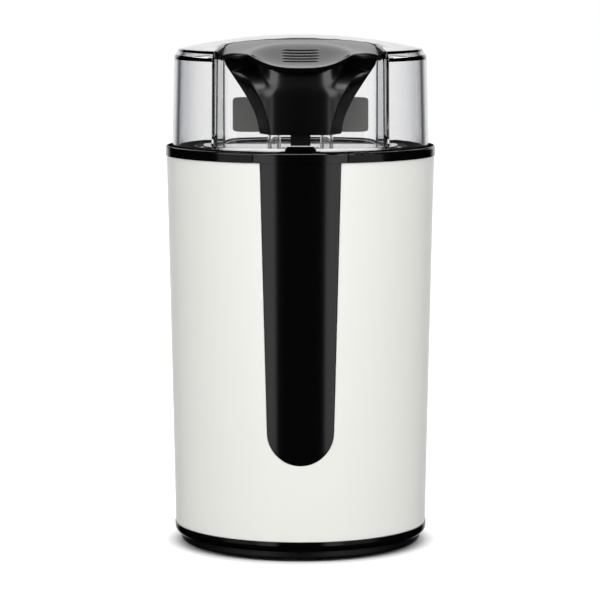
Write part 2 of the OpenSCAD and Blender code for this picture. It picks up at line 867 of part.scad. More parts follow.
module cord_gland() {
    gland_l = cord_y + gland_out - gland_in_y;
    snap_over = 1;
    color(black) difference() {
        union() {
            difference() {
                along_cord(cord_y - flange_sink, flange_sink + gland_out, gland_flange_r);
                taper(sleeve_z - cord_z, sleeve_z + 2 * cord_z, 0);
            }
            along_cord(gland_in_y, gland_l, gland_r);
            along_cord(gland_in_y, gland_snap_t, gland_r + snap_over);
        }
        along_cord(gland_in_y - cut, gland_l + 2 * cut, cord_r);
    }
}

// Cylinder along the cord's axis that starts at y0
module along_cord(y0, l, r) {
    translate([0, y0, cord_z]) rotate([-90, 0, 0]) cylinder(h = l, r = r);
}

module cord_clamp() {
    color(black) difference() {
        translate([0, clamp_y, clamp_z]) linear_extrude(height = clamp_t)
            round_rect(2 * (clamp_x + clamp_post_r), 2 * clamp_post_r, clamp_post_r - slack);
        cord_channel();
        for (x = [-1, 1]) translate([x * clamp_x, clamp_y, clamp_z - cut])
            cylinder(h = clamp_t + 2 * cut, r = screw_r + fit);
    }
}

module clamp_screws() {
    color(steel) for (x = [-1, 1]) translate([x * clamp_x, clamp_y, clamp_z + clamp_t])
        screw(clamp_screw_l - cut);
}

module terminal_block() {
    wire_r = 1.5;
    color("#d9d6c8") difference() {
        translate([terminal_x, 0, lip_z]) linear_extrude(height = terminal_h)
            round_rect(terminal_w, terminal_d, 1);
        for (y = [-1, 0, 1]) translate([terminal_x, y * terminal_pitch, terminal_z]) {
            cylinder(h = through, r = terminal_hole_r);
            rotate([0, 90, 0]) cylinder(h = 2 * terminal_w, r = wire_r, center = true);
        }
    }
}

module terminal_screws() {
    screw_l = lip_z + terminal_h - 1 - terminal_z;
    slit = 0.6;
    color(brass) for (y = [-1, 0, 1]) translate([terminal_x, y * terminal_pitch, terminal_z])
        difference() {
            cylinder(h = screw_l, r = terminal_hole_r - fit);
            translate([0, 0, screw_l]) cube([2 * terminal_w, slit, 2], center = true);
        }
}

module suppressor_capacitor() {
    color("#c9b23a") translate([capacitor_x, 0, lip_z]) linear_extrude(height = capacitor_h)
        round_rect(capacitor_w, capacitor_d, 0.8);
}

// ---------------------------------------------------------------- bowl

// Solid of the bowl's space, for its outer or its inner face
module bowl_solid(r_top, r_low, z0, z1, r) {
    small = 0.01;
    translate([0, 0, z0 + r]) cylinder(h = z1 - z0 - r, r1 = r_low, r2 = r_top);
    translate([0, 0, z0 + r]) rotate_extrude() intersection() {
        translate([r_low - r, 0]) circle(r = r);
        translate([0, -r]) square([through, r]);
    }
    translate([0, 0, z0]) cylinder(h = r + small, r = r_low - r + small);
}

module grinding_bowl() {
    top_z = flange_z + bowl_t;
    small = 0.01;
    color(steel) difference() {
        union() {
            bowl_solid(bowl_r + bowl_t, bowl_low_r + bowl_t, deck_top_z, top_z, bowl_round + bowl_t);
            translate([0, 0, flange_z]) cylinder(h = bowl_t, r = flange_r);
        }
        bowl_solid(bowl_r, bowl_low_r, bowl_floor_z, top_z + small, bowl_round);
        translate([0, 0, deck_top_z - cut]) cylinder(h = 2 * bowl_t + cut, r = seal_r + fit);
    }
}

module bowl_gasket() {
    color("#3a3a3a") translate([0, 0, gasket_z])
        tube(gasket_t, flange_r - slack, bowl_r + bowl_t + bowl_gap);
}

module shaft_seal() {
    top_round = 0.6;
    color("#6b3a2a") difference() {
        union() {
            translate([0, 0, bowl_floor_z])
                round_ring(seal_flange_h, seal_flange_r, 0, 0, top_round);
            translate([0, 0, deck_top_z - seal_drop])
                cylinder(h = seal_drop + bowl_t + weld, r = seal_r);
        }
        shaft_bore(fit);
    }
}

// ---------------------------------------------------------------- armature and blade

// Bore for the shaft through whatever it is cut from
module shaft_bore(gap) {
    translate([0, 0, -cut]) cylinder(h = through, r = shaft_r + gap);
}

module blade_hub() {
    edge_round = 0.4;
    color(black) difference() {
        translate([0, 0, hub_z]) round_ring(blade_z - hub_z, hub_r, 0, edge_round, edge_round);
        shaft_bore(fit / 2);
    }
}

// Side view of the blade: a flat centre, arms that dip and tips that turn up
module blade_side(dip) {
    flat = hub_r + 2;
    low = blade_r - 5;
    tip_rise = 2.4;
    outline = [
        [0, 0], [flat, 0], [low, -dip], [blade_r, tip_rise - dip],
        [blade_r, tip_rise - dip + blade_t], [low - 0.4, blade_t - dip],
        [flat, blade_t], [0, blade_t],
    ];
    rotate([90, 0, 0]) linear_extrude(height = 2 * blade_w, center = true) polygon(outline);
}

module blade() {
    tip_r = 3.4;
    color(steel) difference() {
        translate([0, 0, blade_z]) intersection() {
            union() {
                blade_side(blade_dip);
                mirror([1, 0, 0]) blade_side(blade_dip);
            }
            translate([0, 0, -blade_lift]) linear_extrude(height = 2 * blade_lift) blade_plan(tip_r);
        }
        shaft_bore(fit / 2);
    }
}

// Plan of the blade: each arm is swept on its leading side
module blade_plan(tip_r) {
    circle(r = blade_w / 2);
    for (a = [0, 180]) rotate(a) {
        polygon([[0, -blade_w / 2], [blade_r - tip_r, -tip_r], [blade_r - tip_r, tip_r],
            [0, blade_w / 2]]);
        translate([blade_r - tip_r, 0]) circle(r = tip_r);
    }
}

module blade_nut() {
    color(steel) translate([0, 0, nut_z]) difference() {
        union() {
            cylinder(h = nut_h, r = nut_r, $fn = 6);
            translate([0, 0, nut_h]) intersection() {
                sphere(r = 0.8 * nut_r);
                cylinder(h = nut_r, r = nut_r);
            }
        }
        translate([0, 0, -cut]) cylinder(h = nut_h + cut, r = shaft_r + fit / 2);
    }
}

module motor_shaft() {
    low_z = fan_z - shaft_end;
    color(steel) translate([0, 0, low_z]) cylinder(h = nut_z + nut_h - slack - low_z, r = shaft_r);
}

// Copies at the armature's slots, or halfway between them
module at_slots(shift) {
    for (i = [0 : armature_slots - 1]) rotate((i + shift) * 360 / armature_slots) children();
}

module armature_core() {
    mouth_w = 1.0;
    h = stack_h + 2 * cut;
    color("#7d8084") difference() {
        translate([0, 0, stack_z]) cylinder(h = stack_h, r = armature_r);
        at_slots(0) translate([slot_place_r, 0, stack_z - cut]) {
            cylinder(h = h, r = slot_r);
            translate([0, -mouth_w / 2, 0]) cube([armature_r, mouth_w, h]);
        }
        shaft_bore(fit / 2);
    }
}

module armature_windings() {
    turn_round = 2;
    color(copper) difference() {
        union() {
            translate([0, 0, stack_top_z]) round_ring(end_turn_h, winding_r, 0, 0, turn_round);
            translate([0, 0, stack_z - end_turn_h])
                round_ring(end_turn_h, winding_r, 0, turn_round, 0);
            at_slots(0) translate([slot_place_r, 0, stack_z - turn_round])
                cylinder(h = stack_h + 2 * turn_round, r = slot_r - fit);
        }
        shaft_bore(fit);
    }
}

module commutator() {
    groove_w = 0.4;
    groove_d = 0.8;
    color(copper) difference() {
        translate([0, 0, commutator_z]) cylinder(h = commutator_h, r = commutator_r);
        at_slots(0.5) translate([commutator_r - groove_d, -groove_w / 2, commutator_z - cut])
            cube([2 * groove_d, groove_w, commutator_h + 2 * cut]);
        shaft_bore(fit / 2);
    }
}

module cooling_fan() {
    blades = 9;
    vane_t = 1.2;
    color("#2f3a45") difference() {
        union() {
            translate([0, 0, fan_z + fan_h]) cylinder(h = fan_disc_t, r = fan_r);
            translate([0, 0, fan_z]) cylinder(h = fan_top_z - fan_z, r = hub_r);
            for (i = [0 : blades - 1]) rotate(i * 360 / blades)
                translate([hub_r - 1, -vane_t / 2, fan_z])
                    cube([fan_r - hub_r, vane_t, fan_h + weld]);
        }
        shaft_bore(fit / 2);
    }
}

module fan_clip() {
    width = 1.8;
    mouth_w = 1.6;
    color(steel) translate([0, 0, fan_z - fan_clip_t]) difference() {
        tube(fan_clip_t, shaft_r + width, shaft_r + fit / 2);
        translate([0, -mouth_w / 2, -cut]) cube([2 * shaft_r, mouth_w, fan_clip_t + 2 * cut]);
    }
}

// ---------------------------------------------------------------- stator and brackets

module stator_core() {
    color("#8b8e92") translate([0, 0, stack_z]) linear_extrude(height = stack_h) difference() {
        round_rect(stator_w, stator_d, 6);
        circle(r = bore_r);
        for (x = [-1, 1], y = [-1, 1])
            translate([x * (window_x + window_in_x) / 2, y * (window_y + pole_w) / 2])
                square([window_x - window_in_x, window_y - pole_w], center = true);
        for (x = [-1, 1], y = [-1, 1]) translate([x * bolt_x, y * bolt_y]) circle(r = screw_r + fit);
    }
}

module field_coils() {
    inner_w = 2 * (pole_w + coil_gap);
    inner_h = stack_h + 2 * coil_gap;
    mid_z = stack_z + stack_h / 2;
    color(copper) for (side = [0, 180]) rotate([0, 0, side]) translate([coil_x, 0, mid_z])
        rotate([90, 0, 90]) linear_extrude(height = coil_w) difference() {
            round_rect(inner_w + 2 * coil_t, inner_h + 2 * coil_t, coil_round);
            round_rect(inner_w, inner_h, 1);
        }
}

// Plate with four arms that reach the bolts, and a round middle for the bush
module bracket_plate() {
    arm_w = 7;
    linear_extrude(height = bracket_t) {
        circle(r = bush_r + 3);
        for (s = [-1, 1]) rotate(s * atan(bolt_y / bolt_x))
            square([2 * norm([bolt_x, bolt_y]), arm_w], center = true);
        for (x = [-1, 1], y = [-1, 1]) translate([x * bolt_x, y * bolt_y]) circle(r = leg_r);
        children();
    }
}

// Holes for the four long bolts
module bolt_holes(z0, z1) {
    for (x = [-1, 1], y = [-1, 1]) translate([x * bolt_x, y * bolt_y, z0 - cut])
        cylinder(h = z1 - z0 + 2 * cut, r = screw_r + fit);
}

module upper_bracket() {
    color("#9a9da0") difference() {
        union() {
            translate([0, 0, upper_plate_z]) bracket_plate() {
                square([cross_w, 2 * mount_y], center = true);
                for (y = [-1, 1]) translate([0, y * mount_y]) circle(r = mount_r);
            }
            translate([0, 0, upper_plate_z - bush_sink])
                cylinder(h = bush_sink + bracket_t, r = bush_r + 2);
            for (x = [-1, 1], y = [-1, 1]) translate([x * bolt_x, y * bolt_y, stack_top_z])
                cylinder(h = upper_leg_h + bracket_t, r = leg_r);
        }
        bolt_holes(stack_top_z, deck_z);
        shaft_bore(bush_r - shaft_r + fit);
        for (y = [-1, 1]) translate([0, y * mount_y, upper_plate_z - cut])
            cylinder(h = bracket_t + 2 * cut, r = screw_r + fit);
    }
}

module lower_bracket() {
    color("#9a9da0") difference() {
        union() {
            translate([0, 0, lower_plate_z]) bracket_plate()
                square([2 * tower_x, cross_w], center = true);
            for (x = [-1, 1], y = [-1, 1]) translate([x * bolt_x, y * bolt_y, lower_plate_z])
                cylinder(h = lower_leg_h, r = leg_r);
            for (x = [-1, 1])
                translate([x * (tower_x - tower_t) - tower_t / 2, -cross_w / 2, lower_plate_z])
                    cube([tower_t, cross_w, brush_z - holder_out_t / 2 - lower_plate_z]);
        }
        bolt_holes(lower_plate_z, stack_z);
        shaft_bore(bush_r - shaft_r + fit);
    }
}

module upper_bush() {
    color(brass) translate([0, 0, upper_plate_z - bush_sink])
        tube(bush_sink + bracket_t + bush_proud, bush_r, shaft_r + fit);
}

module lower_bush() {
    color(brass) translate([0, 0, lower_plate_z - bush_proud])
        tube(bracket_t + 2 * bush_proud, bush_r, shaft_r + fit);
}

module motor_bolts() {
    color(steel) for (x = [-1, 1], y = [-1, 1])
        translate([x * bolt_x, y * bolt_y, upper_plate_z + bracket_t])
            screw(upper_plate_z + bracket_t - lower_plate_z + nut_t + slack);
}

module motor_nuts() {
    color(steel) for (x = [-1, 1], y = [-1, 1])
        translate([x * bolt_x, y * bolt_y, lower_plate_z - nut_t]) difference() {
            cylinder(h = nut_t, r = 2 * screw_r, $fn = 6);
            translate([0, 0, -cut]) cylinder(h = nut_t + 2 * cut, r = screw_r + fit);
        }
}

module motor_mounts() {
    edge_round = 0.6;
    color("#2a2a2a") for (y = [-1, 1]) translate([0, y * mount_y, upper_plate_z + bracket_t])
        difference() {
            round_ring(mount_h, mount_r, 0, edge_round, edge_round);
            translate([0, 0, -cut]) cylinder(h = mount_h + 2 * cut, r = screw_r + fit);
        }
}

module mount_screws() {
    seat_z = deck_top_z - head_h - slack;
    color(steel) for (y = [-1, 1]) translate([0, y * mount_y, seat_z])
        screw(seat_z - upper_plate_z + 1);
}

module thermal_fuse() {
    fuse_r = 1.8;
    lead_r = 0.5;
    color("#d8d8d8") translate([coil_x + coil_w / 2, 0, stack_top_z + coil_gap + coil_t + fuse_r])
        rotate([90, 0, 0]) {
            cylinder(h = 9, r = fuse_r, center = true);
            cylinder(h = 14, r = lead_r, center = true);
        }
}

// ---------------------------------------------------------------- brushes

// Square column along X at the height of the brushes, from x0 to x1
module brush_bar(x0, x1, w, t) {
    translate([x0, -w / 2, brush_z - t / 2]) cube([x1 - x0, w, t]);
}

module brush_holders() {
    color(brass) for (side = [0, 180]) rotate([0, 0, side]) difference() {
        brush_bar(holder_x, holder_x + holder_l, holder_out_w, holder_out_t);
        brush_bar(holder_x - cut, holder_x + holder_l - holder_t,
            brush_w + 2 * fit, brush_t + 2 * fit);
    }
}

module carbon_brushes() {
    color("#303030") for (side = [0, 180]) rotate([0, 0, side]) difference() {
        brush_bar(commutator_r - 1, commutator_r + brush_l, brush_w, brush_t);
        translate([0, 0, commutator_z - cut])
            cylinder(h = commutator_h + 2 * cut, r = commutator_r + fit);
    }
}

module brush_springs() {
    x0 = commutator_r + brush_l + spring_gap;
    x1 = holder_x + holder_l - holder_t - spring_gap;
    color(steel) for (side = [0, 180]) rotate([0, 0, side]) translate([x0, 0, brush_z])
        rotate([0, 90, 0]) coil_spring(brush_w / 2 - wire_r - free, x1 - x0, 4);
}

// ---------------------------------------------------------------- switch rod and switch

module switch_rod() {
    color(black) translate([0, -push_y, 0]) {
        translate([-tongue_w / 2, -tongue_t / 2, rod_flange_z + rod_flange_t / 2])
            cube([tongue_w, tongue_t, rod_top_z - rod_flange_z - rod_flange_t / 2]);
        translate([0, 0, rod_flange_z]) cylinder(h = rod_flange_t, r = rod_flange_r);
        translate([0, 0, nose_z + rod_r]) {
            cylinder(h = rod_flange_z - nose_z - rod_r + rod_flange_t / 2, r = rod_r);
            sphere(r = rod_r);
        }
    }
}

module rod_spring() {
    color(steel) translate([0, -push_y, deck_top_z + spring_gap])
        coil_spring(rod_r + wire_r + free, rod_flange_z - deck_top_z - 2 * spring_gap, 12);
}

module switch_body() {
    ear_t = 0.6;
    ear_y = leaf_w / 2 + slack + ear_t / 2;
    ear_h = pivot_z + 1.5 * pin_r - switch_top_z + cut;
    color("#26262a") difference() {
        union() {
            translate([switch_low_x, switch_y - switch_t / 2, switch_z])
                cube([switch_l, switch_t, switch_h]);
            // Two ears and the pin on which the leaf turns
            for (y = [-ear_y, ear_y])
                translate([pivot_x - ear_w / 2, switch_y + y - ear_t / 2, switch_top_z - cut])
                    cube([ear_w, ear_t, ear_h]);
            translate([pivot_x, switch_y, pivot_z]) rotate([90, 0, 0])
                cylinder(h = 2 * ear_y + ear_t, r = pin_r, center = true);
        }
        switch_holes(switch_y);
        translate([button_x, switch_y, switch_top_z - button_d - press_travel / 2])
            linear_extrude(height = 2 * button_d) square(button_w + free, center = true);
    }
}

// Holes for the switch's screws, through whatever they are cut from
module switch_holes(y) {
    for (x = [-1, 1])
        translate([switch_mid_x + x * switch_hole_x, y, switch_z + switch_hole_z])
            rotate([90, 0, 0]) cylinder(h = 3 * switch_t, r = screw_r + fit, center = true);
}

module switch_leaf() {
    color(steel) translate([pivot_x, switch_y, pivot_z]) rotate([90, 0, 0]) difference() {
        union() {
            cylinder(h = leaf_w, r = curl_r, center = true);
            rotate([0, 0, leaf_angle]) translate([0, -leaf_t / 2, -leaf_w / 2])
                cube([leaf_l, leaf_t, leaf_w]);
        }
        cylinder(h = leaf_w + 2 * cut, r = pin_r + fit, center = true);
    }
}

module switch_button() {
    color("#b03a2e") translate([button_x, switch_y, switch_top_z - button_d])
        linear_extrude(height = pivot_z + button_rise - switch_top_z + button_d)
            square(button_w, center = true);
}

module switch_terminals() {
    tab_w = 2.4;
    tab_t = 0.5;
    tab_x = 6.5;
    color(brass) for (x = [-tab_x, 0, tab_x])
        translate([switch_mid_x + x - tab_w / 2, switch_y - tab_t / 2, switch_z - terminal_l])
            cube([tab_w, tab_t, terminal_l]);
}

module switch_bracket() {
    back_y = switch_y + switch_t / 2;
    color("#a9acb0") difference() {
        union() {
            translate([switch_low_x, back_y, switch_z - 1])
                cube([switch_l, plate_t, deck_z - switch_z + 1]);
            translate([switch_low_x, back_y, deck_z - plate_t]) cube([switch_l, flange_l, plate_t]);
        }
        switch_holes(back_y);
        for (x = [-1, 1])
            translate([switch_mid_x + x * bracket_screw_x, bracket_screw_y, deck_z - 2 * plate_t])
                cylinder(h = 3 * plate_t, r = screw_r + fit);
    }
}

module switch_screws() {
    color(steel) for (x = [-1, 1])
        translate([switch_mid_x + x * switch_hole_x, switch_y + switch_t / 2 + plate_t,
            switch_z + switch_hole_z]) rotate([-90, 0, 0]) screw(plate_t + switch_t);
}

module bracket_screws() {
    color(steel) for (x = [-1, 1])
        translate([switch_mid_x + x * bracket_screw_x, bracket_screw_y, deck_z - plate_t])
            mirror([0, 0, 1]) screw(plate_t + deck_t);
}

// ---------------------------------------------------------------- lid

// Solid of the lid's outer form, smaller by an inset
module lid_solid(inset, drop = 0) {
    z1 = lid_edge_z - inset / 2;
    drop_r = drop * lid_taper / (z1 - rim_z);
    intersection() {
        translate([0, 0, dome_z]) sphere(r = dome_r - inset, $fn = 200);
        union() {
            translate([0, 0, rim_z - drop]) cylinder(h = z1 - rim_z + drop,
                r1 = lid_low_r + drop_r - inset, r2 = lid_top_r - inset);
            translate([0, 0, z1]) cylinder(h = lid_edge_h,
                r1 = lid_top_r - inset, r2 = lid_top_r - lid_edge_w - inset);
            translate([0, 0, rim_z]) cylinder(h = lid_h, r = lid_top_r - lid_edge_w - inset);
        }
    }
}

module lid_shell() {
    web_top_z = web_z + web_t;
    color([0.85, 0.88, 0.95, 0.4]) difference() {
        union() {
            difference() {
                lid_solid(0);
                lid_solid(lid_t, cut);
                notch_prism(0, web_top_z, lid_z + cut);
            }
            intersection() {
                lid_solid(0);
                difference() {
                    notch_prism(-notch_t, web_z, lid_z + cut);
                    notch_prism(0, web_top_z, lid_z + 2 * cut);
                }
            }
            translate([0, 0, web_z - spigot_h]) tube(spigot_h + weld, spigot_r, spigot_r - spigot_t);
            for (x = [-1, 1]) translate([x * post_x, -post_y, web_top_z - weld])
                cylinder(h = post_h + weld, r = post_r);
        }
        for (x = [-1, 1]) translate([x * post_x, -post_y, web_top_z])
            cylinder(h = post_h + cut, r = guide_peg_r + fit);
        // Slot for the collar's boss
        translate([-boss_slot_w / 2, -through, web_z - cut])
            cube([boss_slot_w, through - flange_r + 1, web_t + 2 * cut]);
    }
}

// ---------------------------------------------------------------- press lever

// Front view of one side of the lever's face, widening upwards, with its width scaled
function face_edge(inset, k) = let (
        x0 = face_low_w + face_curve_r * cos(face_low_slope),
        z0 = lever_z - face_curve_r * sin(face_low_slope),
        r = face_curve_r + inset,
        z1 = z0 + r * sin(face_top_slope),
        x1 = x0 - r * cos(face_top_slope),
        x2 = x1 + (lid_z - z1) * tan(face_top_slope)
    ) concat(
        [for (p = arc(0, 0, r, face_low_slope, face_top_slope)) [k * (x0 - p[0]), z0 + p[1]]],
        [[k * x2, lid_z]]
    );

// Half of space under the lever's side that runs backwards from the face's edge
module side_cut(inset) {
    k = cos(side_angle);
    edge = face_edge(inset, k);
    low_x = edge[0][0];
    translate([0, side_y, 0]) rotate([0, 0, -side_angle]) translate([0, through / 2, 0])
        rotate([90, 0, 0]) linear_extrude(height = through)
            polygon(concat([[-through, lever_z - 1], [low_x, lever_z - 1]], edge, [[-through, lid_z]]));
}

// Skirt: front face and the two sides that run back from it, up to a height
module lever_skirt(inset, depth, top_z) {
    face_h = dish_z - lever_z;
    intersection() {
        translate([0, 0, lever_z]) union() {
            cylinder(h = face_h, r1 = lever_face_r - inset, r2 = lever_lip_r - inset);
            translate([0, 0, face_h]) cylinder(h = through, r = lever_lip_r - inset);
        }
        side_cut(inset);
        mirror([1, 0, 0]) side_cut(inset);
        translate([-neck_w + inset, -through, lever_z])
            cube([2 * (neck_w - inset), through - lever_face_r + depth, top_z - lever_z]);
    }
}

// Dish for the thumb, cut along a sloping line, larger by an inset
module thumb_dish(inset) {
    translate([0, -lever_lip_r, dish_z]) rotate([dish_angle, 0, 0])
        translate([0, 0, dish_r]) rotate([90, 0, 0])
            cylinder(h = 2 * through, r = dish_r + inset, center = true, $fn = 200);
}

// Everything under the lever's top surface, lower by an inset
module under_top(inset) {
    difference() {
        intersection() {
            translate([0, 0, dome_z]) sphere(r = dome_r - inset, $fn = 200);
            cylinder(h = 2 * through, r = lever_lip_r - inset);
        }
        thumb_dish(inset);
    }
}

// Column over the thumb rest's outline
module thumb_outline(gap) {
    l = thumb_l - gap;
    translate([0, thumb_y, lever_z]) linear_extrude(height = lid_z - lever_z)
        round_rect(2 * (thumb_w - gap), 2 * l, l - 0.5);
}

module press_lever() {
    skirt_back = -lever_face_r + skirt_depth;
    color(black) difference() {
        union() {
            difference() {
                intersection() {
                    under_top(0);
                    union() {
                        notch_prism(lever_gap, wing_z, lid_z);
                        lever_skirt(0, skirt_depth, lid_z);
                    }
                }
                intersection() {
                    under_top(lever_t);
                    union() {
                        intersection() {
                            notch_prism(lever_gap + lever_t, wing_z - cut, lid_z);
                            translate([-through / 2, skirt_back, 0]) cube(through);
                        }
                        lever_skirt(lever_t, skirt_depth + 4, lid_z);
                    }
                }
            }
            // Floor of the skirt, which the tongue passes through
            lever_skirt(lever_t / 2, skirt_depth, lever_z + lever_floor);
            // Guide pegs, and the seats of their springs under the top
            intersection() {
                under_top(lever_t / 2);
                for (x = [-1, 1]) translate([x * post_x, -post_y, peg_seat_z])
                    cylinder(h = through, r = peg_seat_r);
            }
            for (x = [-1, 1]) translate([x * post_x, -post_y, peg_low_z])
                cylinder(h = peg_seat_z - peg_low_z + 1, r = guide_peg_r);
        }
        // Holes for the guide posts, slot for the tongue and seat for the thumb rest
        for (x = [-1, 1]) translate([x * post_x, -post_y, lever_z - cut]) difference() {
            cylinder(h = lever_floor + 2 * cut, r = post_r + free);
            translate([0, 0, -cut]) cylinder(h = lever_floor + 4 * cut, r = guide_peg_r);
        }
        translate([-tongue_w / 2 - fit, -push_y - tongue_t / 2 - fit, lever_z - cut])
            cube([tongue_w + 2 * fit, tongue_t + 2 * fit, lever_floor + 2 * cut]);
        intersection() {
            thumb_dish(thumb_t);
            thumb_outline(0);
        }
    }
}

// Soft plate with grip ribs, let into the floor of the dish
module thumb_rest() {
    rib_rise = 0.4;
    rib_w = 0.9;
    rib_half_l = thumb_w - 3;
    color("#2c2c2c") {
        difference() {
            intersection() {
                thumb_dish(thumb_t);
                thumb_outline(weld);
            }
            thumb_dish(0);
        }
        difference() {
            intersection() {
                thumb_dish(thumb_t / 2);
                for (i = [0 : thumb_ribs - 1])
                    translate([0, thumb_y + (i - (thumb_ribs - 1) / 2) * thumb_pitch, lever_z])
                        linear_extrude(height = lid_z - lever_z)
                            round_rect(2 * rib_half_l, rib_w, 0.45 * rib_w);
            }
            thumb_dish(-rib_rise);
        }
    }
}

// Plate that slides along the notch's back wall and keeps the lever upright
module lever_guide() {
    corner_round = 1;
    color(grey) intersection() {
        notch_prism(lever_gap, lever_z, wing_z);
        translate([0, guide_y - guide_t, (lever_z + wing_z) / 2]) rotate([90, 0, 0])
            linear_extrude(height = 2 * guide_t, center = true)
                round_rect(2 * guide_w, wing_z - lever_z, corner_round);
        translate([0, guide_y - guide_t / 2, 0])
            cube([through, guide_t, 2 * through], center = true);
    }
}

module lever_tongue() {
    head_w = tongue_w + 2;
    floor_top_z = lever_z + lever_floor;
    color(black) {
        translate([-tongue_w / 2, -push_y - tongue_t / 2, tongue_z])
            cube([tongue_w, tongue_t, floor_top_z - tongue_z + weld]);
        translate([-head_w / 2, -push_y - tongue_t / 2, floor_top_z])
            cube([head_w, tongue_t, tongue_head]);
    }
}

module lever_springs() {
    color(steel) for (x = [-1, 1]) translate([x * post_x, -post_y, post_top_z + spring_gap])
        coil_spring(guide_peg_r + wire_r + free, peg_seat_z - post_top_z - 2 * spring_gap, 6);
}

// ---------------------------------------------------------------- nodes

outer_sleeve();
inner_housing();
upper_housing();
inlet_plate();
front_strip();
top_collar();
collar_screws();
base_cover();
base_screws();
rubber_feet();
cord_gland();
cord_clamp();
clamp_screws();
terminal_block();
terminal_screws();
suppressor_capacitor();
thermal_fuse();
grinding_bowl();
bowl_gasket();
shaft_seal();
blade_hub();
blade();
blade_nut();
motor_shaft();
armature_core();
armature_windings();
commutator();
cooling_fan();
fan_clip();
stator_core();
field_coils();
upper_bracket();
lower_bracket();
upper_bush();
lower_bush();
motor_bolts();
motor_nuts();
motor_mounts();
mount_screws();
brush_holders();
carbon_brushes();
brush_springs();
switch_rod();
rod_spring();
switch_body();
switch_leaf();
switch_button();
switch_terminals();
switch_bracket();
switch_screws();
bracket_screws();
lid_shell();
press_lever();
lever_guide();
lever_tongue();
thumb_rest();
lever_springs();
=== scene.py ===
import math

import bmesh
import bpy
import numpy as np
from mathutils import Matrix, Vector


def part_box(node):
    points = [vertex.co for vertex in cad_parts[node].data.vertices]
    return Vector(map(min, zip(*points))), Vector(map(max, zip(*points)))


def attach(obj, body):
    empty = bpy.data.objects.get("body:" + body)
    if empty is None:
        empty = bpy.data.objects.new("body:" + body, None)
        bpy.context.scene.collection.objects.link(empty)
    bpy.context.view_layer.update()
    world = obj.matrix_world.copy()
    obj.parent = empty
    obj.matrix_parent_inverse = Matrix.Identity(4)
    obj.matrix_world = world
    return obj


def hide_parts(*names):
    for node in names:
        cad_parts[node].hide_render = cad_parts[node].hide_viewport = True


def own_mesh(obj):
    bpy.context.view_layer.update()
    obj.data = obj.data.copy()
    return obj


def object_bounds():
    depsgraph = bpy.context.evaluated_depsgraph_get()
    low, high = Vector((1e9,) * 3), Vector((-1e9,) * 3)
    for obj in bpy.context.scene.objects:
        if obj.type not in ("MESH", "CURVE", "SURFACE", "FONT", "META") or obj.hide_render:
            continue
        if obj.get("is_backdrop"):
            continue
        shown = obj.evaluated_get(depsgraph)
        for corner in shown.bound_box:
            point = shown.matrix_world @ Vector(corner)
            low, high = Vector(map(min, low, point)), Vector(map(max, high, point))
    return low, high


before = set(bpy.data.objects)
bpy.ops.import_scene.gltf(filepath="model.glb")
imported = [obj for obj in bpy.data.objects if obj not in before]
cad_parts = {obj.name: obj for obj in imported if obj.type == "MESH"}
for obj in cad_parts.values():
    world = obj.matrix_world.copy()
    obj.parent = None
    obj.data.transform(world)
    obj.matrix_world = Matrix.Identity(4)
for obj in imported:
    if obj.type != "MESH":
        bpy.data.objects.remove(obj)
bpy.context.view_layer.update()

# ---------------------------------------------------------------------------- studio
# The grinder stands on a white table before a white wall. A screen and a soft box stand beside it
# at each side, and four boxes hang above: one in front, one at each side, one behind. The room
# behind the camera is dark, so that black plastic stays black between the boxes' reflections.

EYE = (0.0, -1.1023, 0.2169)
LOOK_DOWN = math.radians(6.60)
LENS_MM, SENSOR_MM = 180.4, 36.0
SHIFT = -0.5 / 600
NEAR, FAR = 0.05, 20

camera_data = bpy.data.cameras.new("camera")
camera_data.lens, camera_data.sensor_width = LENS_MM, SENSOR_MM
camera_data.shift_x = SHIFT
camera_data.clip_start, camera_data.clip_end = NEAR, FAR
camera = bpy.data.objects.new("camera", camera_data)
camera.location = EYE
camera.rotation_euler = (math.pi / 2 - LOOK_DOWN, 0, 0)
bpy.context.scene.collection.objects.link(camera)
bpy.context.scene.camera = camera
bpy.context.scene.view_settings.view_transform = "Standard"

HALF_WAY_UP, LOW_DOWN = 0.09, 0.02


def soft_box(name, turn, rise, distance, width, height, radiance, z=HALF_WAY_UP):
    """Flat lamp that faces a point on the grinder's axis, at height z, from a direction: turn in
    degrees from the front towards +X, rise in degrees above the table. Every part of its face
    gives the same light."""
    lamp = bpy.data.lights.new(name, "AREA")
    lamp.shape, lamp.size, lamp.size_y = "RECTANGLE", width, height
    lamp.energy = radiance * math.pi * width * height
    box = bpy.data.objects.new(name, lamp)
    bpy.context.scene.collection.objects.link(box)
    turn, rise = math.radians(turn), math.radians(rise)
    box.location = (distance * math.sin(turn) * math.cos(rise),
                    -distance * math.cos(turn) * math.cos(rise), z + distance * math.sin(rise))
    box.rotation_euler = (math.pi / 2 - rise, 0, turn)
    box.visible_camera = False


for side in (-1, 1):
    soft_box(f"screen_{side + 1}", turn=side * 29.5, rise=0, distance=1.2, width=0.36, height=0.5,
             radiance=1.05, z=LOW_DOWN)
    soft_box(f"side_box_{side + 1}", turn=side * 55.5, rise=0, distance=1.2, width=0.74,
             height=0.5, radiance=0.4, z=LOW_DOWN)
    soft_box(f"high_box_{side + 1}", turn=side * 52, rise=25, distance=1.3, width=1.0, height=0.6,
             radiance=3.0)
soft_box("front_box", turn=0, rise=58, distance=1.3, width=1.2, height=0.6, radiance=4.4)
soft_box("top_box", turn=180, rise=50, distance=1.3, width=1.6, height=1.0, radiance=1.8)


def add(tree, kind, settings=None, links=()):
    """Adds one node to a tree. Settings go by socket or property name, links say which socket
    takes which node's output."""
    node = tree.nodes.new(kind)
    for name, value in (settings or {}).items():
        if isinstance(name, int) or name in node.inputs:
            node.inputs[name].default_value = value
        else:
            setattr(node, name, value)
    for name, source, output in links:
        tree.links.new(source.outputs[output], node.inputs[name])
    return node


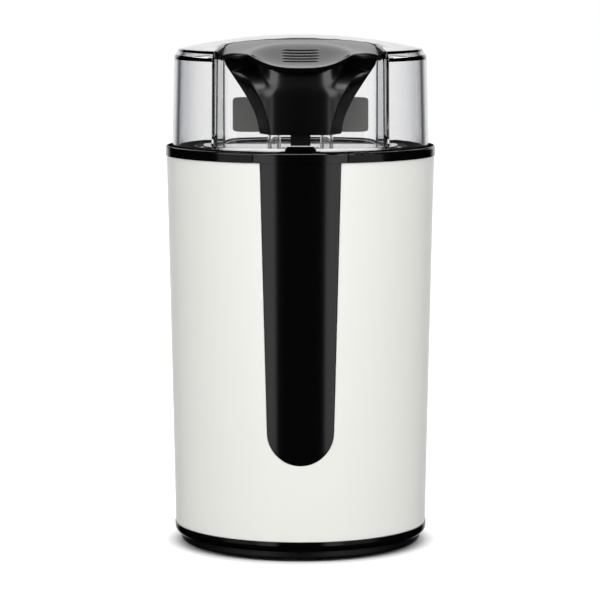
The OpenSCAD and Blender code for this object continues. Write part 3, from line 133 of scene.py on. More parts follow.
# The wall: white wherever the camera looks, straight or through the clear lid. Glossy surfaces
# see it pale behind the grinder and dark in front. Light paths that leave the clear plastic after
# a reflection find a pale ceiling besides, and dim walls. Matt surfaces get a little of it all
# round. Behind and ceiling go by the Y and the Z of the direction, whose length is 1.
WALL_GLOSS, WALL_FILL = 0.95, 0.06
BEHIND_FROM, BEHIND_FULL = 0.84, 0.97
CEILING_FROM, CEILING_FULL = 0.5, 0.9
CEILING_WALLS, CEILING_PALE = 0.12, 0.7
world = bpy.data.worlds.new("studio")
bpy.context.scene.world = world
world.use_nodes = True
tree = world.node_tree
tree.nodes.clear()
way = add(tree, "ShaderNodeTexCoord")
parts = add(tree, "ShaderNodeSeparateXYZ", {}, [("Vector", way, "Generated")])
behind = add(tree, "ShaderNodeMapRange",
             {"interpolation_type": "SMOOTHSTEP", "From Min": BEHIND_FROM, "From Max": BEHIND_FULL},
             [("Value", parts, "Y")])
path = add(tree, "ShaderNodeLightPath")
gloss = add(tree, "ShaderNodeMath", {"operation": "MULTIPLY", 1: WALL_GLOSS},
            [(0, behind, "Result")])
fill = add(tree, "ShaderNodeMix", {"data_type": "FLOAT", 2: WALL_FILL},
           [("Factor", path, "Is Glossy Ray"), (3, gloss, "Value")])
ceiling = add(tree, "ShaderNodeMapRange",
              {"interpolation_type": "SMOOTHSTEP", "From Min": CEILING_FROM,
               "From Max": CEILING_FULL, "To Min": CEILING_WALLS, "To Max": CEILING_PALE},
              [("Value", parts, "Z")])
around = add(tree, "ShaderNodeMath", {"operation": "MAXIMUM"},
             [(0, ceiling, "Result"), (1, gloss, "Value")])
room = add(tree, "ShaderNodeMix", {"data_type": "FLOAT"},
           [("Factor", path, "Is Transmission Ray"), (2, fill, "Result"), (3, around, "Value")])
unmirrored = add(tree, "ShaderNodeMath", {"operation": "LESS_THAN", 1: 0.5},
                 [(0, path, "Glossy Depth")])
straight = add(tree, "ShaderNodeMath", {"operation": "MULTIPLY"},
               [(0, unmirrored, "Value"), (1, path, "Is Transmission Ray")])
seen = add(tree, "ShaderNodeMath", {"operation": "MAXIMUM"},
           [(0, path, "Is Camera Ray"), (1, straight, "Value")])
level = add(tree, "ShaderNodeMix", {"data_type": "FLOAT", 3: 1.0},
            [("Factor", seen, "Value"), (2, room, "Result")])
wall = add(tree, "ShaderNodeBackground", {"Color": (1, 1, 1, 1)}, [("Strength", level, "Result")])
add(tree, "ShaderNodeOutputWorld", {}, [("Surface", wall, "Background")])

# The table: a white sheet. The camera sees a light of its own and what the lamps give it. Its own
# light is nothing under the grinder and full a little outside it: a painted shadow round the foot,
# added to the lamps' shadow, while the rest of the sheet is white. It is left out of reflections.
TABLE_HALF, PAPER = 3.0, 0.8
SHADE_R, WHITE_R = 0.040, 0.062
mesh = bpy.data.meshes.new("table_top")
mesh.from_pydata([(-TABLE_HALF, -TABLE_HALF, 0), (TABLE_HALF, -TABLE_HALF, 0),
                  (TABLE_HALF, TABLE_HALF, 0), (-TABLE_HALF, TABLE_HALF, 0)], [], [(0, 1, 2, 3)])
table = bpy.data.objects.new("table_top", mesh)
bpy.context.scene.collection.objects.link(table)
paper = bpy.data.materials.new("white_paper")
paper.use_nodes = True
tree = paper.node_tree
tree.nodes.clear()
path = add(tree, "ShaderNodeLightPath")
seen = add(tree, "ShaderNodeMath", {"operation": "MAXIMUM"},
           [(0, path, "Is Camera Ray"), (1, path, "Is Transmission Ray")])
place = add(tree, "ShaderNodeTexCoord")
away = add(tree, "ShaderNodeVectorMath", {"operation": "LENGTH"}, [(0, place, "Object")])
# Painted shadow: the sheet's own light fades out towards the grinder's foot
painted_shadow_ramp = add(tree, "ShaderNodeMapRange",
            {"interpolation_type": "SMOOTHSTEP", "From Min": SHADE_R, "From Max": WHITE_R},
            [("Value", away, "Value")])
shine = add(tree, "ShaderNodeMath", {"operation": "MULTIPLY"},
            [(0, seen, "Value"), (1, painted_shadow_ramp, "Result")])
own = add(tree, "ShaderNodeEmission", {"Color": (1, 1, 1, 1)}, [("Strength", shine, "Value")])
matt = add(tree, "ShaderNodeBsdfDiffuse", {"Color": (PAPER, PAPER, PAPER, 1)})
both = add(tree, "ShaderNodeAddShader", {}, [(0, own, "Emission"), (1, matt, "BSDF")])
clear = add(tree, "ShaderNodeBsdfTransparent")
shown = add(tree, "ShaderNodeMixShader", {},
            [(0, path, "Is Glossy Ray"), (1, both, "Shader"), (2, clear, "BSDF")])
add(tree, "ShaderNodeOutputMaterial", {}, [("Surface", shown, "Shader")])
mesh.materials.append(paper)
table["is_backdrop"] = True

# ---------------------------------------------------------------------------- base and feet
# The base cover is a black ABS moulding with a spark-eroded surface, held under the housing by
# three screws in deep holes. Four soft rubber feet are pushed into its pockets.

SPREAD, BLOTCHES = 0.15, 60.0
GRAIN_HEIGHT, LINE_HEIGHT = 0.0001, 0.0002


def linear(code):
    """sRGB hex code as a linear colour: the sRGB curve undone for each of its three numbers."""
    part = np.array([int(code[i:i + 2], 16) for i in (1, 3, 5)]) / 255
    part = np.where(part <= 0.04045, part / 12.92, ((part + 0.055) / 1.055) ** 2.4)
    return (*part.tolist(), 1.0)


def finish(name, code, roughness, grain_mm, grain, tint=0.06, metallic=0.0, lines=None, **more):
    """Principled surface. A fine noise of the real grain size moves its height, and its roughness
    by the spread. A coarse noise, with so many blotches to the metre, darkens its colour by up to
    the tint. lines = (kind, axis, pitch in mm, depth) adds turned, rolled or wound lines round an
    axis or across it, at their real distance: a wave of scale 1 repeats after 2 pi / 20."""
    material = bpy.data.materials.new(name)
    material.use_nodes = True
    tree = material.node_tree
    tree.nodes.clear()
    place = add(tree, "ShaderNodeTexCoord")
    fine = add(tree, "ShaderNodeTexNoise", {"Scale": 1000 / grain_mm, "Detail": 3.0},
               [("Vector", place, "Object")])
    broad = add(tree, "ShaderNodeTexNoise", {"Scale": BLOTCHES, "Detail": 2.0},
                [("Vector", place, "Object")])
    colour = linear(code)
    dark = tuple(part * (1 - tint) for part in colour[:3]) + (1.0,)
    shade = add(tree, "ShaderNodeMix", {"data_type": "RGBA", 6: dark, 7: colour},
                [(0, broad, "Fac")])
    rough = add(tree, "ShaderNodeMapRange",
                {"To Min": roughness * (1 - SPREAD), "To Max": roughness * (1 + SPREAD)},
                [("Value", fine, "Fac")])
    height = add(tree, "ShaderNodeBump", {"Strength": grain, "Distance": GRAIN_HEIGHT},
                 [("Height", fine, "Fac")])
    if lines:
        kind, axis, pitch_mm, depth = lines
        wave = add(tree, "ShaderNodeTexWave",
                   {"wave_type": kind, "bands_direction": axis, "rings_direction": axis,
                    "Scale": 2 * math.pi / 20 / (pitch_mm / 1000), "Distortion": 0.6,
                    "Detail": 2.0, "Detail Scale": 3.0}, [("Vector", place, "Object")])
        height = add(tree, "ShaderNodeBump", {"Strength": depth, "Distance": LINE_HEIGHT},
                     [("Height", wave, "Fac"), ("Normal", height, "Normal")])
    settings = {"Metallic": metallic}
    settings.update(more)
    surface = add(tree, "ShaderNodeBsdfPrincipled", settings,
                  [("Base Color", shade, 2), ("Roughness", rough, "Result"),
                   ("Normal", height, "Normal")])
    add(tree, "ShaderNodeOutputMaterial", {}, [("Surface", surface, "BSDF")])
    return material


def dress(material, *names):
    """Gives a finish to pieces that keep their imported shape."""
    for name in names:
        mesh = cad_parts[name].data
        mesh.materials.clear()
        mesh.materials.append(material)


# Textured ABS scatters its highlights, so it looks dark grey where a lamp shines on it
textured_abs = finish("abs_spark_eroded", "#0E0E0F", 0.36, 0.35, 0.12, IOR=1.53)
# Rubber is nearly matt, with a dusty grey bloom
rubber = finish("rubber_moulded", "#1A1A1A", 0.7, 0.5, 0.2, IOR=1.52)
# Zinc plating on steel: soft bluish metal, faintly mottled
zinc_plate = finish("zinc_plated_steel", "#B6BABD", 0.3, 0.6, 0.08, metallic=1.0)
dress(textured_abs, "base_cover")
dress(rubber, "rubber_feet")
dress(zinc_plate, "base_screws")

# ---------------------------------------------------------------------------- housing
# The housing is moulded in black ABS: a tapered tube with the deck that carries bowl and motor,
# the columns for the collar's screws, and the lip on which the sleeve stands. The wall above the
# deck and the plate behind the cord gland are parts of it.

# Polished ABS mirrors the lamps almost sharply, with a faint waviness from the mould
polished_abs = finish("abs_polished", "#050506", 0.13, 1.6, 0.012, IOR=1.53)
dress(polished_abs, "inner_housing", "upper_housing", "inlet_plate")

# ---------------------------------------------------------------------------- sleeve
# The sleeve is 0.6 mm steel sheet, rolled to a slight taper and stove-enamelled warm white, with
# a U-shaped slot for the strip and a hole at the back for the cord gland. Its edges are rounded.

SLEEVE_LOW, SLEEVE_TOP = 7.5, 143.2
SLEEVE_LOW_R, SLEEVE_TOP_R = 46.3, 49.0
SLEEVE_SHEET, SLEEVE_EDGE = 0.6, 0.22
SLOT_END_Z, SLOT_END_R, SLOT_TOP_W = 47.2, 12.0, 14.4
PATCH_W, PATCH_LOW = 26.0, 24.0
SLOT_STEPS, PATCH_STEPS, LOW_ROWS, BACK_COLUMNS = 180, 10, 12, 241
GLAND_HOLE_R = 5.4


def sleeve_r(z):
    """Outer radius of the sleeve at a height: it grows evenly from the lower to the upper edge."""
    growth = (SLEEVE_TOP_R - SLEEVE_LOW_R) / (SLEEVE_TOP - SLEEVE_LOW)
    return SLEEVE_LOW_R + (z - SLEEVE_LOW) * growth


def round_front(x, z, out=0.0):
    """Points on the sleeve's cone with a given place across the front and height: y is minus the
    root of the radius squared less x squared. Out moves them away from the cone."""
    r = sleeve_r(z) + out
    return np.stack([x, -np.sqrt(r * r - x * x), z], axis=-1)


def slot_edge(count, inset):
    """Outline of the slot from its upper left corner down, round the end and up again, smaller by
    an inset: straight sides that lean outwards, and half a circle. Returns x and z."""
    side = count // 3
    r, top_w = SLOT_END_R - inset, SLOT_TOP_W - inset
    down = np.linspace(0, 1, side, endpoint=False)
    turn = np.linspace(-math.pi / 2, math.pi / 2, count - 2 * side)
    width, height = top_w + (r - top_w) * down, SLEEVE_TOP + (SLOT_END_Z - SLEEVE_TOP) * down
    x = np.concatenate([-width, r * np.sin(turn), width[::-1]])
    z = np.concatenate([height, SLOT_END_Z - r * np.cos(turn), height[::-1]])
    return x, z


def grid_faces(rows, columns, start=0, closed=False):
    """Quads between neighbouring points of a grid, counter-clockwise where columns run to the
    right and rows upwards. A closed grid joins its last column to its first."""
    last = columns if closed else columns - 1
    i, j = np.meshgrid(np.arange(rows - 1), np.arange(last), indexing="ij")
    a, b = i * columns + j, i * columns + (j + 1) % columns
    return start + np.stack([a, b, b + columns, a + columns], axis=-1).reshape(-1, 4)


def build(name, points_mm, faces, material, body, slot, merge_mm=0.01):
    """Puts points and quads into a mesh, joins points that coincide, shades it smoothly, gives it
    its finish and lets it ride on its body."""
    mesh = bpy.data.meshes.new(name)
    points = np.asarray(points_mm, dtype=np.float32).reshape(-1, 3) / 1000
    mesh.vertices.add(len(points))
    mesh.vertices.foreach_set("co", points.ravel())
    faces = np.asarray(faces, dtype=np.int32)
    mesh.loops.add(faces.size)
    mesh.loops.foreach_set("vertex_index", faces.ravel())
    mesh.polygons.add(len(faces))
    starts = np.arange(0, faces.size, faces.shape[1], dtype=np.int32)
    mesh.polygons.foreach_set("loop_start", starts)
    mesh.update(calc_edges=True)
    mesh.validate()
    form = bmesh.new()
    form.from_mesh(mesh)
    bmesh.ops.remove_doubles(form, verts=form.verts, dist=merge_mm / 1000)
    form.to_mesh(mesh)
    form.free()
    mesh.polygons.foreach_set("use_smooth", np.ones(len(mesh.polygons), dtype=bool))
    mesh.materials.append(material)
    piece = bpy.data.objects.new(name, mesh)
    bpy.context.scene.collection.objects.link(piece)
    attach(piece, body)
    return piece


def sheet_wall(piece, wall_mm, edge_mm, corner=0.6):
    """Gives a surface its wall, inwards, and rounds the wall's edges: all edges that turn by more
    than the corner's angle."""
    wall = piece.modifiers.new("wall", "SOLIDIFY")
    wall.thickness, wall.offset = wall_mm / 1000, -1
    edge = piece.modifiers.new("edge", "BEVEL")
    edge.width, edge.segments, edge.limit_method = edge_mm / 1000, 3, "ANGLE"
    edge.angle_limit = corner
    edge.harden_normals = True


# Around the slot the grid's columns run from the slot's edge to a plain rectangle, and the rest
# of the sleeve is a plain grid round the back
x_in, z_in = slot_edge(SLOT_STEPS, 0.0)
side = SLOT_STEPS // 3
middle = SLOT_STEPS - 2 * side
x_out = np.concatenate([np.full(side, -PATCH_W), np.linspace(-PATCH_W, PATCH_W, middle),
                        np.full(side, PATCH_W)])
down = np.linspace(0, 1, side, endpoint=False)
z_side = SLEEVE_TOP + (PATCH_LOW - SLEEVE_TOP) * down
z_out = np.concatenate([z_side, np.full(middle, PATCH_LOW), z_side[::-1]])
blend = np.linspace(0, 1, PATCH_STEPS)[:, None]
patch = round_front(x_out + (x_in - x_out) * blend, z_out + (z_in - z_out) * blend)
rows = np.linspace(SLEEVE_LOW, PATCH_LOW, LOW_ROWS)
low_x, low_z = np.meshgrid(x_out[side:side + middle], rows)
low = round_front(low_x, low_z)
back_rows = np.concatenate([rows, z_side[::-1]])
ends = np.arcsin(PATCH_W / sleeve_r(back_rows))[:, None]
turn = ends + (2 * math.pi - 2 * ends) * np.linspace(0, 1, BACK_COLUMNS)[None, :]
r = sleeve_r(back_rows)[:, None]
back = np.stack([r * np.sin(turn), -r * np.cos(turn), back_rows[:, None] + 0 * turn], axis=-1)
faces = np.concatenate([grid_faces(PATCH_STEPS, SLOT_STEPS),
                        grid_faces(LOW_ROWS, middle, patch.size // 3),
                        grid_faces(len(back_rows), BACK_COLUMNS, (patch.size + low.size) // 3)])
points = np.concatenate([patch.reshape(-1, 3), low.reshape(-1, 3), back.reshape(-1, 3)])
# The hole for the cord gland: the faces that lie nearer to its axis than the hole's radius are out
gland_low, gland_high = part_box("cord_gland")
gland_z = (gland_low[2] + gland_high[2]) / 2 * 1000
centre = points[faces].mean(axis=1)
from_axis = np.hypot(centre[:, 0], centre[:, 2] - gland_z)
faces = faces[(centre[:, 1] < 0) | (from_axis > GLAND_HOLE_R)]
# Stoved enamel on steel: a bright white body under its own gloss, with faint orange peel
enamel = finish("stove_enamel_white", "#EFEFEA", 0.30, 2.5, 0.008, tint=0.01, IOR=1.5)
sleeve = build("sleeve", points, faces, enamel, "housing", "white_enamel")
sheet_wall(sleeve, SLEEVE_SHEET, SLEEVE_EDGE)
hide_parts("outer_sleeve")

# ---------------------------------------------------------------------------- front strip
# The strip is a polished black ABS moulding that fills the slot and is pegged to the housing
# behind it. A thin dark gap runs all round it.

STRIP_GAP, STRIP_PROUD, STRIP_THICK, STRIP_EDGE = 0.3, 0.15, 1.2, 0.35
STRIP_ROWS, STRIP_COLUMNS = 75, 25
x_rim, z_rim = slot_edge(2 * STRIP_ROWS, STRIP_GAP)
x_left, z_left = x_rim[:STRIP_ROWS], np.minimum(z_rim[:STRIP_ROWS], SLEEVE_TOP - STRIP_GAP)
u = np.linspace(-1, 1, STRIP_COLUMNS)[None, :]
strip_points = round_front(x_left[:, None] * -u, z_left[:, None] + 0 * u, STRIP_PROUD)
strip_faces = grid_faces(STRIP_ROWS, STRIP_COLUMNS)[:, ::-1]
strip = build("front_strip_moulding", strip_points, strip_faces, polished_abs, "housing",
              "black_gloss")
sheet_wall(strip, STRIP_THICK, STRIP_EDGE)
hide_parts("front_strip")

# ---------------------------------------------------------------------------- collar
# The collar closes the top: a polished black ABS ring that the lid stands on, with a boss in
# front in which the switch rod slides. Its top is left matt, so that it doesn't mirror the lid.
# Four columns below it reach the deck, and screws from below hold it there.

moulded_abs = polished_abs.copy()
moulded_abs.name = "abs_polished_matt_top"
tree = moulded_abs.node_tree
gloss = next(node for node in tree.nodes if node.type == "BSDF_PRINCIPLED")
sides = add(tree, "ShaderNodeNewGeometry")
parts = add(tree, "ShaderNodeSeparateXYZ", {}, [("Vector", sides, "Normal")])
upward = add(tree, "ShaderNodeMapRange", {"From Min": 0.85, "From Max": 0.97},
             [("Value", parts, "Z")])
matt = add(tree, "ShaderNodeBsdfDiffuse", {"Color": linear("#0A0A0B")})
both = add(tree, "ShaderNodeMixShader", {},
           [(0, upward, "Result"), (1, gloss, "BSDF"), (2, matt, "BSDF")])
add(tree, "ShaderNodeOutputMaterial", {"is_active_output": True}, [("Surface", both, "Shader")])
dress(moulded_abs, "top_collar")
dress(zinc_plate, "collar_screws")

# ---------------------------------------------------------------------------- bowl and blade
# The bowl is deep-drawn stainless steel, spun on its inside, and sits on a rubber ring. The
# blade is ground stainless steel on a black hub, held by a nut on the motor's shaft.

# Spun steel shows fine rings that stretch its highlights sideways
spun_steel = finish("stainless_spun", "#B9BBBC", 0.24, 0.5, 0.05, metallic=1.0,
                    lines=("RINGS", "Z", 0.6, 0.05))
# Ground steel has short fine lines across the blade
ground_steel = finish("stainless_ground", "#A9ABAD", 0.26, 0.4, 0.06, metallic=1.0,
                      lines=("BANDS", "X", 0.5, 0.06))
# Silicone is soft and brown, with hardly a highlight
seal_silicone = finish("silicone_brown", "#5A3426", 0.5, 0.6, 0.1, IOR=1.43)
dress(spun_steel, "grinding_bowl")
dress(rubber, "bowl_gasket")
dress(seal_silicone, "shaft_seal")
dress(textured_abs, "blade_hub")
dress(ground_steel, "blade", "blade_nut")

# ---------------------------------------------------------------------------- motor
# A universal motor hangs under the deck on rubber mounts: a stack of varnished steel sheets with
# two coils, a wound armature with its commutator and brushes, and a fan below the lower bracket.

# Turned shaft steel shows fine turning marks
turned_steel = finish("shaft_steel_turned", "#B2B5B8", 0.2, 0.3, 0.05, metallic=1.0,
                      lines=("BANDS", "Z", 0.25, 0.08))
# Stacked sheets of 0.5 mm show as thin lines one above the other
lamination = finish("lamination_steel_varnished", "#5E6164", 0.4, 0.4, 0.1, metallic=1.0,
                    lines=("BANDS", "Z", 0.5, 0.7))
# Enamelled copper wire of 0.35 mm lies in rows, with the varnish's amber gloss
wound_copper = finish("copper_wire_enamelled", "#A9562A", 0.32, 0.3, 0.1, metallic=1.0,
                      lines=("BANDS", "Z", 0.35, 0.8), **{"Coat Weight": 0.6})
# The commutator's copper is turned bright between dark slots
turned_copper = finish("commutator_copper", "#B5713F", 0.28, 0.3, 0.05, metallic=1.0,
                       lines=("BANDS", "Z", 0.3, 0.1))
# Die-cast zinc has a rough grain that breaks up its highlights
cast_zinc = finish("zinc_die_cast", "#9B9EA1", 0.45, 0.9, 0.35, metallic=1.0)
# Sintered bronze is porous, so it is dull and brown
bronze = finish("sintered_bronze", "#9A7645", 0.5, 0.25, 0.4, metallic=1.0)
# Glass fibres at the surface leave moulded nylon dull
glass_nylon = finish("nylon_glass_filled", "#22262A", 0.5, 0.6, 0.25, IOR=1.53)
# Rolled brass shows fine lines across the sheet
brass = finish("brass_rolled", "#C6A559", 0.3, 0.6, 0.05, metallic=1.0,
               lines=("BANDS", "X", 0.4, 0.06))
# Pressed carbon is nearly black, with a dull grain
pressed_carbon = finish("carbon_pressed", "#1C1C1E", 0.6, 0.2, 0.3, IOR=1.7)
dress(turned_steel, "motor_shaft")
dress(lamination, "stator_core", "armature_core")
dress(wound_copper, "field_coils", "armature_windings")
dress(turned_copper, "commutator")
dress(cast_zinc, "upper_bracket", "lower_bracket")
dress(bronze, "upper_bush", "lower_bush")
dress(glass_nylon, "cooling_fan")
dress(zinc_plate, "fan_clip", "motor_bolts", "motor_nuts", "mount_screws", "brush_springs")
dress(rubber, "motor_mounts")
dress(brass, "brush_holders")
dress(pressed_carbon, "carbon_brushes")

# ---------------------------------------------------------------------------- cord inlet
# The mains lead enters low at the back through a moulded gland. Inside, a clamp with two screws
# holds it, and it ends in a cream terminal block beside the capacitor and the thermal fuse.

# Melamine is a hard cream plastic with a soft gloss
cream_block = finish("melamine_cream", "#D8D0B6", 0.35, 0.8, 0.05, IOR=1.6)
# The capacitor's box is smooth yellow plastic that mirrors a little
capacitor_case = finish("capacitor_case_yellow", "#C9A227", 0.25, 1.0, 0.04, IOR=1.5)
# Tinned brass is pale, with the soft gloss of plating
tinned_case = finish("tinned_brass", "#C4C6C8", 0.3, 0.5, 0.05, metallic=1.0)
dress(textured_abs, "cord_gland", "cord_clamp")
dress(zinc_plate, "clamp_screws")
dress(cream_block, "terminal_block")
dress(brass, "terminal_screws")
dress(capacitor_case, "suppressor_capacitor")
dress(tinned_case, "thermal_fuse")

# ---------------------------------------------------------------------------- switch
# The rod in the collar's boss pushes a spring leaf, which presses the button of a snap switch.
# The switch is a dark thermoset body on a pressed bracket under the deck. A coil spring round the
# rod stands on the deck and lifts the rod by its flange.

# Phenolic moulding is near black, with a dull gloss
thermoset = finish("phenolic_dark", "#1E1E22", 0.4, 0.8, 0.1, IOR=1.6)
# Moulded nylon is deep red, with a soft gloss
red_nylon = finish("nylon_red", "#A0241C", 0.35, 0.8, 0.05, IOR=1.53)
# Bright-drawn spring steel has tight highlights along wire and leaf
spring_steel = finish("spring_steel_bright", "#AEB1B4", 0.22, 0.4, 0.05, metallic=1.0)
dress(polished_abs, "switch_rod")
dress(spring_steel, "switch_leaf")
dress(thermoset, "switch_body")
dress(red_nylon, "switch_button")
dress(brass, "switch_terminals")
dress(zinc_plate, "switch_bracket", "switch_screws", "bracket_screws")


def shortening_spring(name, node, body):
    """Copy of a packed spring, with its coinciding points joined and dressed in spring steel, that
    rides on a body. The packed spring is hidden."""
    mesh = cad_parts[node].data.copy()
    form = bmesh.new()
    form.from_mesh(mesh)
    bmesh.ops.remove_doubles(form, verts=form.verts, dist=1e-6)
    form.to_mesh(mesh)
    form.free()
    mesh.materials.clear()
    mesh.materials.append(spring_steel)
    spring = bpy.data.objects.new(name, mesh)
    bpy.context.scene.collection.objects.link(spring)
    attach(spring, body)
    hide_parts(node)
    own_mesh(spring)


shortening_spring("rod_spring_coil", "rod_spring", "housing")

# ---------------------------------------------------------------------------- lid
# The lid is one clear styrene-acrylonitrile moulding with a thick wall, a notch for the lever, two
# posts that guide it, and a spigot that centres the lid in the bowl. It is smooth as glass.

# Where one looks along a wall, it turns navy grey: painted shade for the dark things that the
# thick wall bends into view. The share of navy is a power of the slant. The level top and floors
# have none of it.
CLEAR, NAVY = (0.998, 0.999, 1.0, 1), (0.16, 0.19, 0.36, 1)
NAVY_POWER, NAVY_ON_WALLS = 3.8, 0.9
THIN_SHADE = (0.93, 0.95, 0.97, 1)
clear_san = bpy.data.materials.new("san_clear")
clear_san.use_nodes = True
tree = clear_san.node_tree
tree.nodes.clear()
slant = add(tree, "ShaderNodeLayerWeight", {"Blend": 0.5})
steep = add(tree, "ShaderNodeMath", {"operation": "POWER", 1: NAVY_POWER}, [(0, slant, "Facing")])
sides = add(tree, "ShaderNodeNewGeometry")
parts = add(tree, "ShaderNodeSeparateXYZ", {}, [("Vector", sides, "Normal")])
level = add(tree, "ShaderNodeMath", {"operation": "ABSOLUTE"}, [(0, parts, "Z")])
wall = add(tree, "ShaderNodeMapRange",
           {"From Min": 0.6, "From Max": 0.95, "To Min": NAVY_ON_WALLS, "To Max": 0.0},
           [("Value", level, "Value")])
painted_shade_share = add(tree, "ShaderNodeMath", {"operation": "MULTIPLY"},
            [(0, steep, "Value"), (1, wall, "Result")])
# The navy in the colour is painted shade at the walls' glancing edges
tint = add(tree, "ShaderNodeMix", {"data_type": "RGBA", 6: CLEAR, 7: NAVY}, [(0, painted_shade_share, "Value")])
body = add(tree, "ShaderNodeBsdfPrincipled",
           {"Roughness": 0.01, "IOR": 1.57, "Transmission Weight": 1.0}, [("Base Color", tint, 2)])
path = add(tree, "ShaderNodeLightPath")
through = add(tree, "ShaderNodeBsdfTransparent", {"Color": THIN_SHADE})
both = add(tree, "ShaderNodeMixShader", {},
           [(0, path, "Is Shadow Ray"), (1, body, "BSDF"), (2, through, "BSDF")])
add(tree, "ShaderNodeOutputMaterial", {}, [("Surface", both, "Shader")])
dress(clear_san, "lid_shell")

# ---------------------------------------------------------------------------- press lever
# The lever fills the lid's notch: a black ABS moulding that slides on the two guide posts. Its top
# plate is dished for the thumb and rolled over at the wings. The trunk below has a column in the
# middle and a flank at each side.

LIP_R, LIP_Z, BACK_Y, BACK_Z = 46.2, 176.6, 18.6, 187.2
LIP_SLOPE, BACK_SLOPE = 5.0, 0.8
TROUGH_W, TROUGH_H, TROUGH_POWER = 19.6, 5.0, 2.9
DOME_TOP, DOME_R, DOME_SOFT = 187.0, 196.0, 0.3


def curve(points, t):
    """Smooth curve through points at equal steps of t from 0 to 1: between two points, a cubic
    whose slope at each is half the step from its neighbour before to its neighbour after."""
    p = np.asarray(points, dtype=float)
    p = np.concatenate([[2 * p[0] - p[1]], p, [2 * p[-1] - p[-2]]])
    at = np.clip(np.asarray(t) * (len(p) - 3), 0, len(p) - 3 - 1e-9)
    k, f = at.astype(int), (at % 1)[..., None]
    a, b, c, d = p[k], p[k + 1], p[k + 2], p[k + 3]
    first, second = (c - a) / 2, a - 2.5 * b + 2 * c - d / 2
    third = 1.5 * (b - c) + (d - a) / 2
    return b + f * first + f ** 2 * second + f ** 3 * third


def ramp(value, width):
    """Nothing below zero and the value itself above, with a round change as wide as width: the
    width times the logarithm of one plus the exponential of value over width."""
    return width * np.logaddexp(0, value / width)


def top_z(x, y):
    """Height of the plate: a cubic from the lip up to the back, with a given slope at each end,
    and on it a trough that rises to the sides with a power of x. It stays below the lid's dome, a
    ball's top: of the two heights the lower one counts, with a soft change."""
    dome = DOME_TOP - DOME_R + np.sqrt(DOME_R ** 2 - x * x - y * y)
    t = np.clip((LIP_R + y) / (LIP_R - BACK_Y), 0, 1)
    climb = LIP_Z + (BACK_Z - LIP_Z) * (3 * t ** 2 - 2 * t ** 3)
    climb = climb + LIP_SLOPE * (t - 2 * t ** 2 + t ** 3) + BACK_SLOPE * (t ** 3 - t ** 2)
    trough = climb + TROUGH_H * (np.abs(x) / TROUGH_W) ** TROUGH_POWER
    return (dome + trough) / 2 - np.sqrt((dome - trough) ** 2 / 4 + DOME_SOFT)


# Edge of the plate in plan, from the middle of the lip round the wing to its rear corner, and
# rows of points from the straight rear edge out to it
EDGE_STEPS, PLATE_STEPS, ROLL_STEPS, REAR_W = 110, 30, 12, 23.2
lip_x = [0, 4, 8, 12, 15.5, 18.4]
edge = [(x, -math.sqrt(LIP_R ** 2 - x * x), 0) for x in lip_x]
edge += [(20.6, -40.6, 0), (22.3, -38.2, 0), (23.8, -35.0, 0), (24.7, -31.0, 0), (25.1, -27.0, 0),
         (25.2, -23.5, 0), (24.6, -20.6, 0), (23.2, -18.6, 0)]
s = np.linspace(0, 1, EDGE_STEPS)
rim = curve(edge, s)
rim[:, 2] = top_z(rim[:, 0], rim[:, 1])
rear = np.stack([REAR_W * s ** 0.8, np.full(EDGE_STEPS, -BACK_Y), 0 * s], axis=-1)
v = np.linspace(0, 1, PLATE_STEPS)[:, None, None]
plate = rear[None] + (rim - rear)[None] * v
plate[..., 2] = top_z(plate[..., 0], plate[..., 1])

# The plate's edge: a small roll at the lip that grows into the wing's rolled-over flank. It runs
# from the rim to a lower edge on a quadratic curve, whose knee swells outwards and upwards.
LIP_IN, LIP_BACK, LIP_HEIGHT = 0.99, 0.5, 1.7
under = [(x * LIP_IN, y + LIP_BACK, float(top_z(np.array(x), np.array(y))) - LIP_HEIGHT)
         for x, y, _ in edge[:len(lip_x)]]
under += [(21.8, -40.4, 179.4), (25.2, -38.0, 179.6), (28.0, -35.4, 179.3), (29.3, -32.4, 179.2),
          (29.2, -28.0, 180.2), (28.2, -23.4, 181.6), (26.2, -20.2, 182.8), (23.2, -18.8, 183.2)]
low = curve(under, s)
out = np.gradient(rim, axis=0)
out = np.stack([-out[:, 1], out[:, 0]], axis=-1) / np.hypot(out[:, 0], out[:, 1])[:, None]
swell_at = [0, 0.36, 0.55, 1]
knee = (rim + low) / 2
knee[:, :2] -= out * np.interp(s, swell_at, [0.25, 0.25, 1.3, 1.0])[:, None]
knee[:, 2] += np.interp(s, swell_at, [0.75, 0.75, 1.0, 0.6])
t = np.linspace(0, 1, ROLL_STEPS)[:, None, None]
roll = (1 - t) ** 2 * rim[None] + 2 * t * (1 - t) * knee[None] + t ** 2 * low[None]

# Trunk: half its width, and half the face's width between the creases, at a height
TRUNK_LOW, TRUNK_TOP, FACE_Y, REAR_Y = 152.9, 180.4, 45.7, 34.8
TRUNK_ROWS, TRUNK_COLUMNS, BELOW_PLATE = 90, 120, 1.6
FACE_R, COLUMN_W, COLUMN_SLOPE = 75.0, 11.0, 1.43
ROUND_LOW, ROUND_MORE, ROUND_Z = 0.6, 0.9, 168.5
WEB_Z, WEB_SLOPE, WEB_START, WEB_SOFT, WEB_LEVEL = 169.9, 0.95, 1.6, 0.5, 0.707
LEAN_Z, LEAN, LEAN_START = 169.0, 0.2, 1.2
FLANK_DEPTH, CREASE_ROUND = 0.5, 0.1
trunk_z = [TRUNK_LOW, 157.8, 160.9, 164.9, 168.4, 172.9, 177.2, TRUNK_TOP]
trunk_w = [14.5, 15.4, 16.5, 18.5, 20.65, 23.6, 26.5, 27.4]
crease_w = [10.6, 11.6, 12.45, 13.8, 15.6, 18.4, 21.5, 24.0]


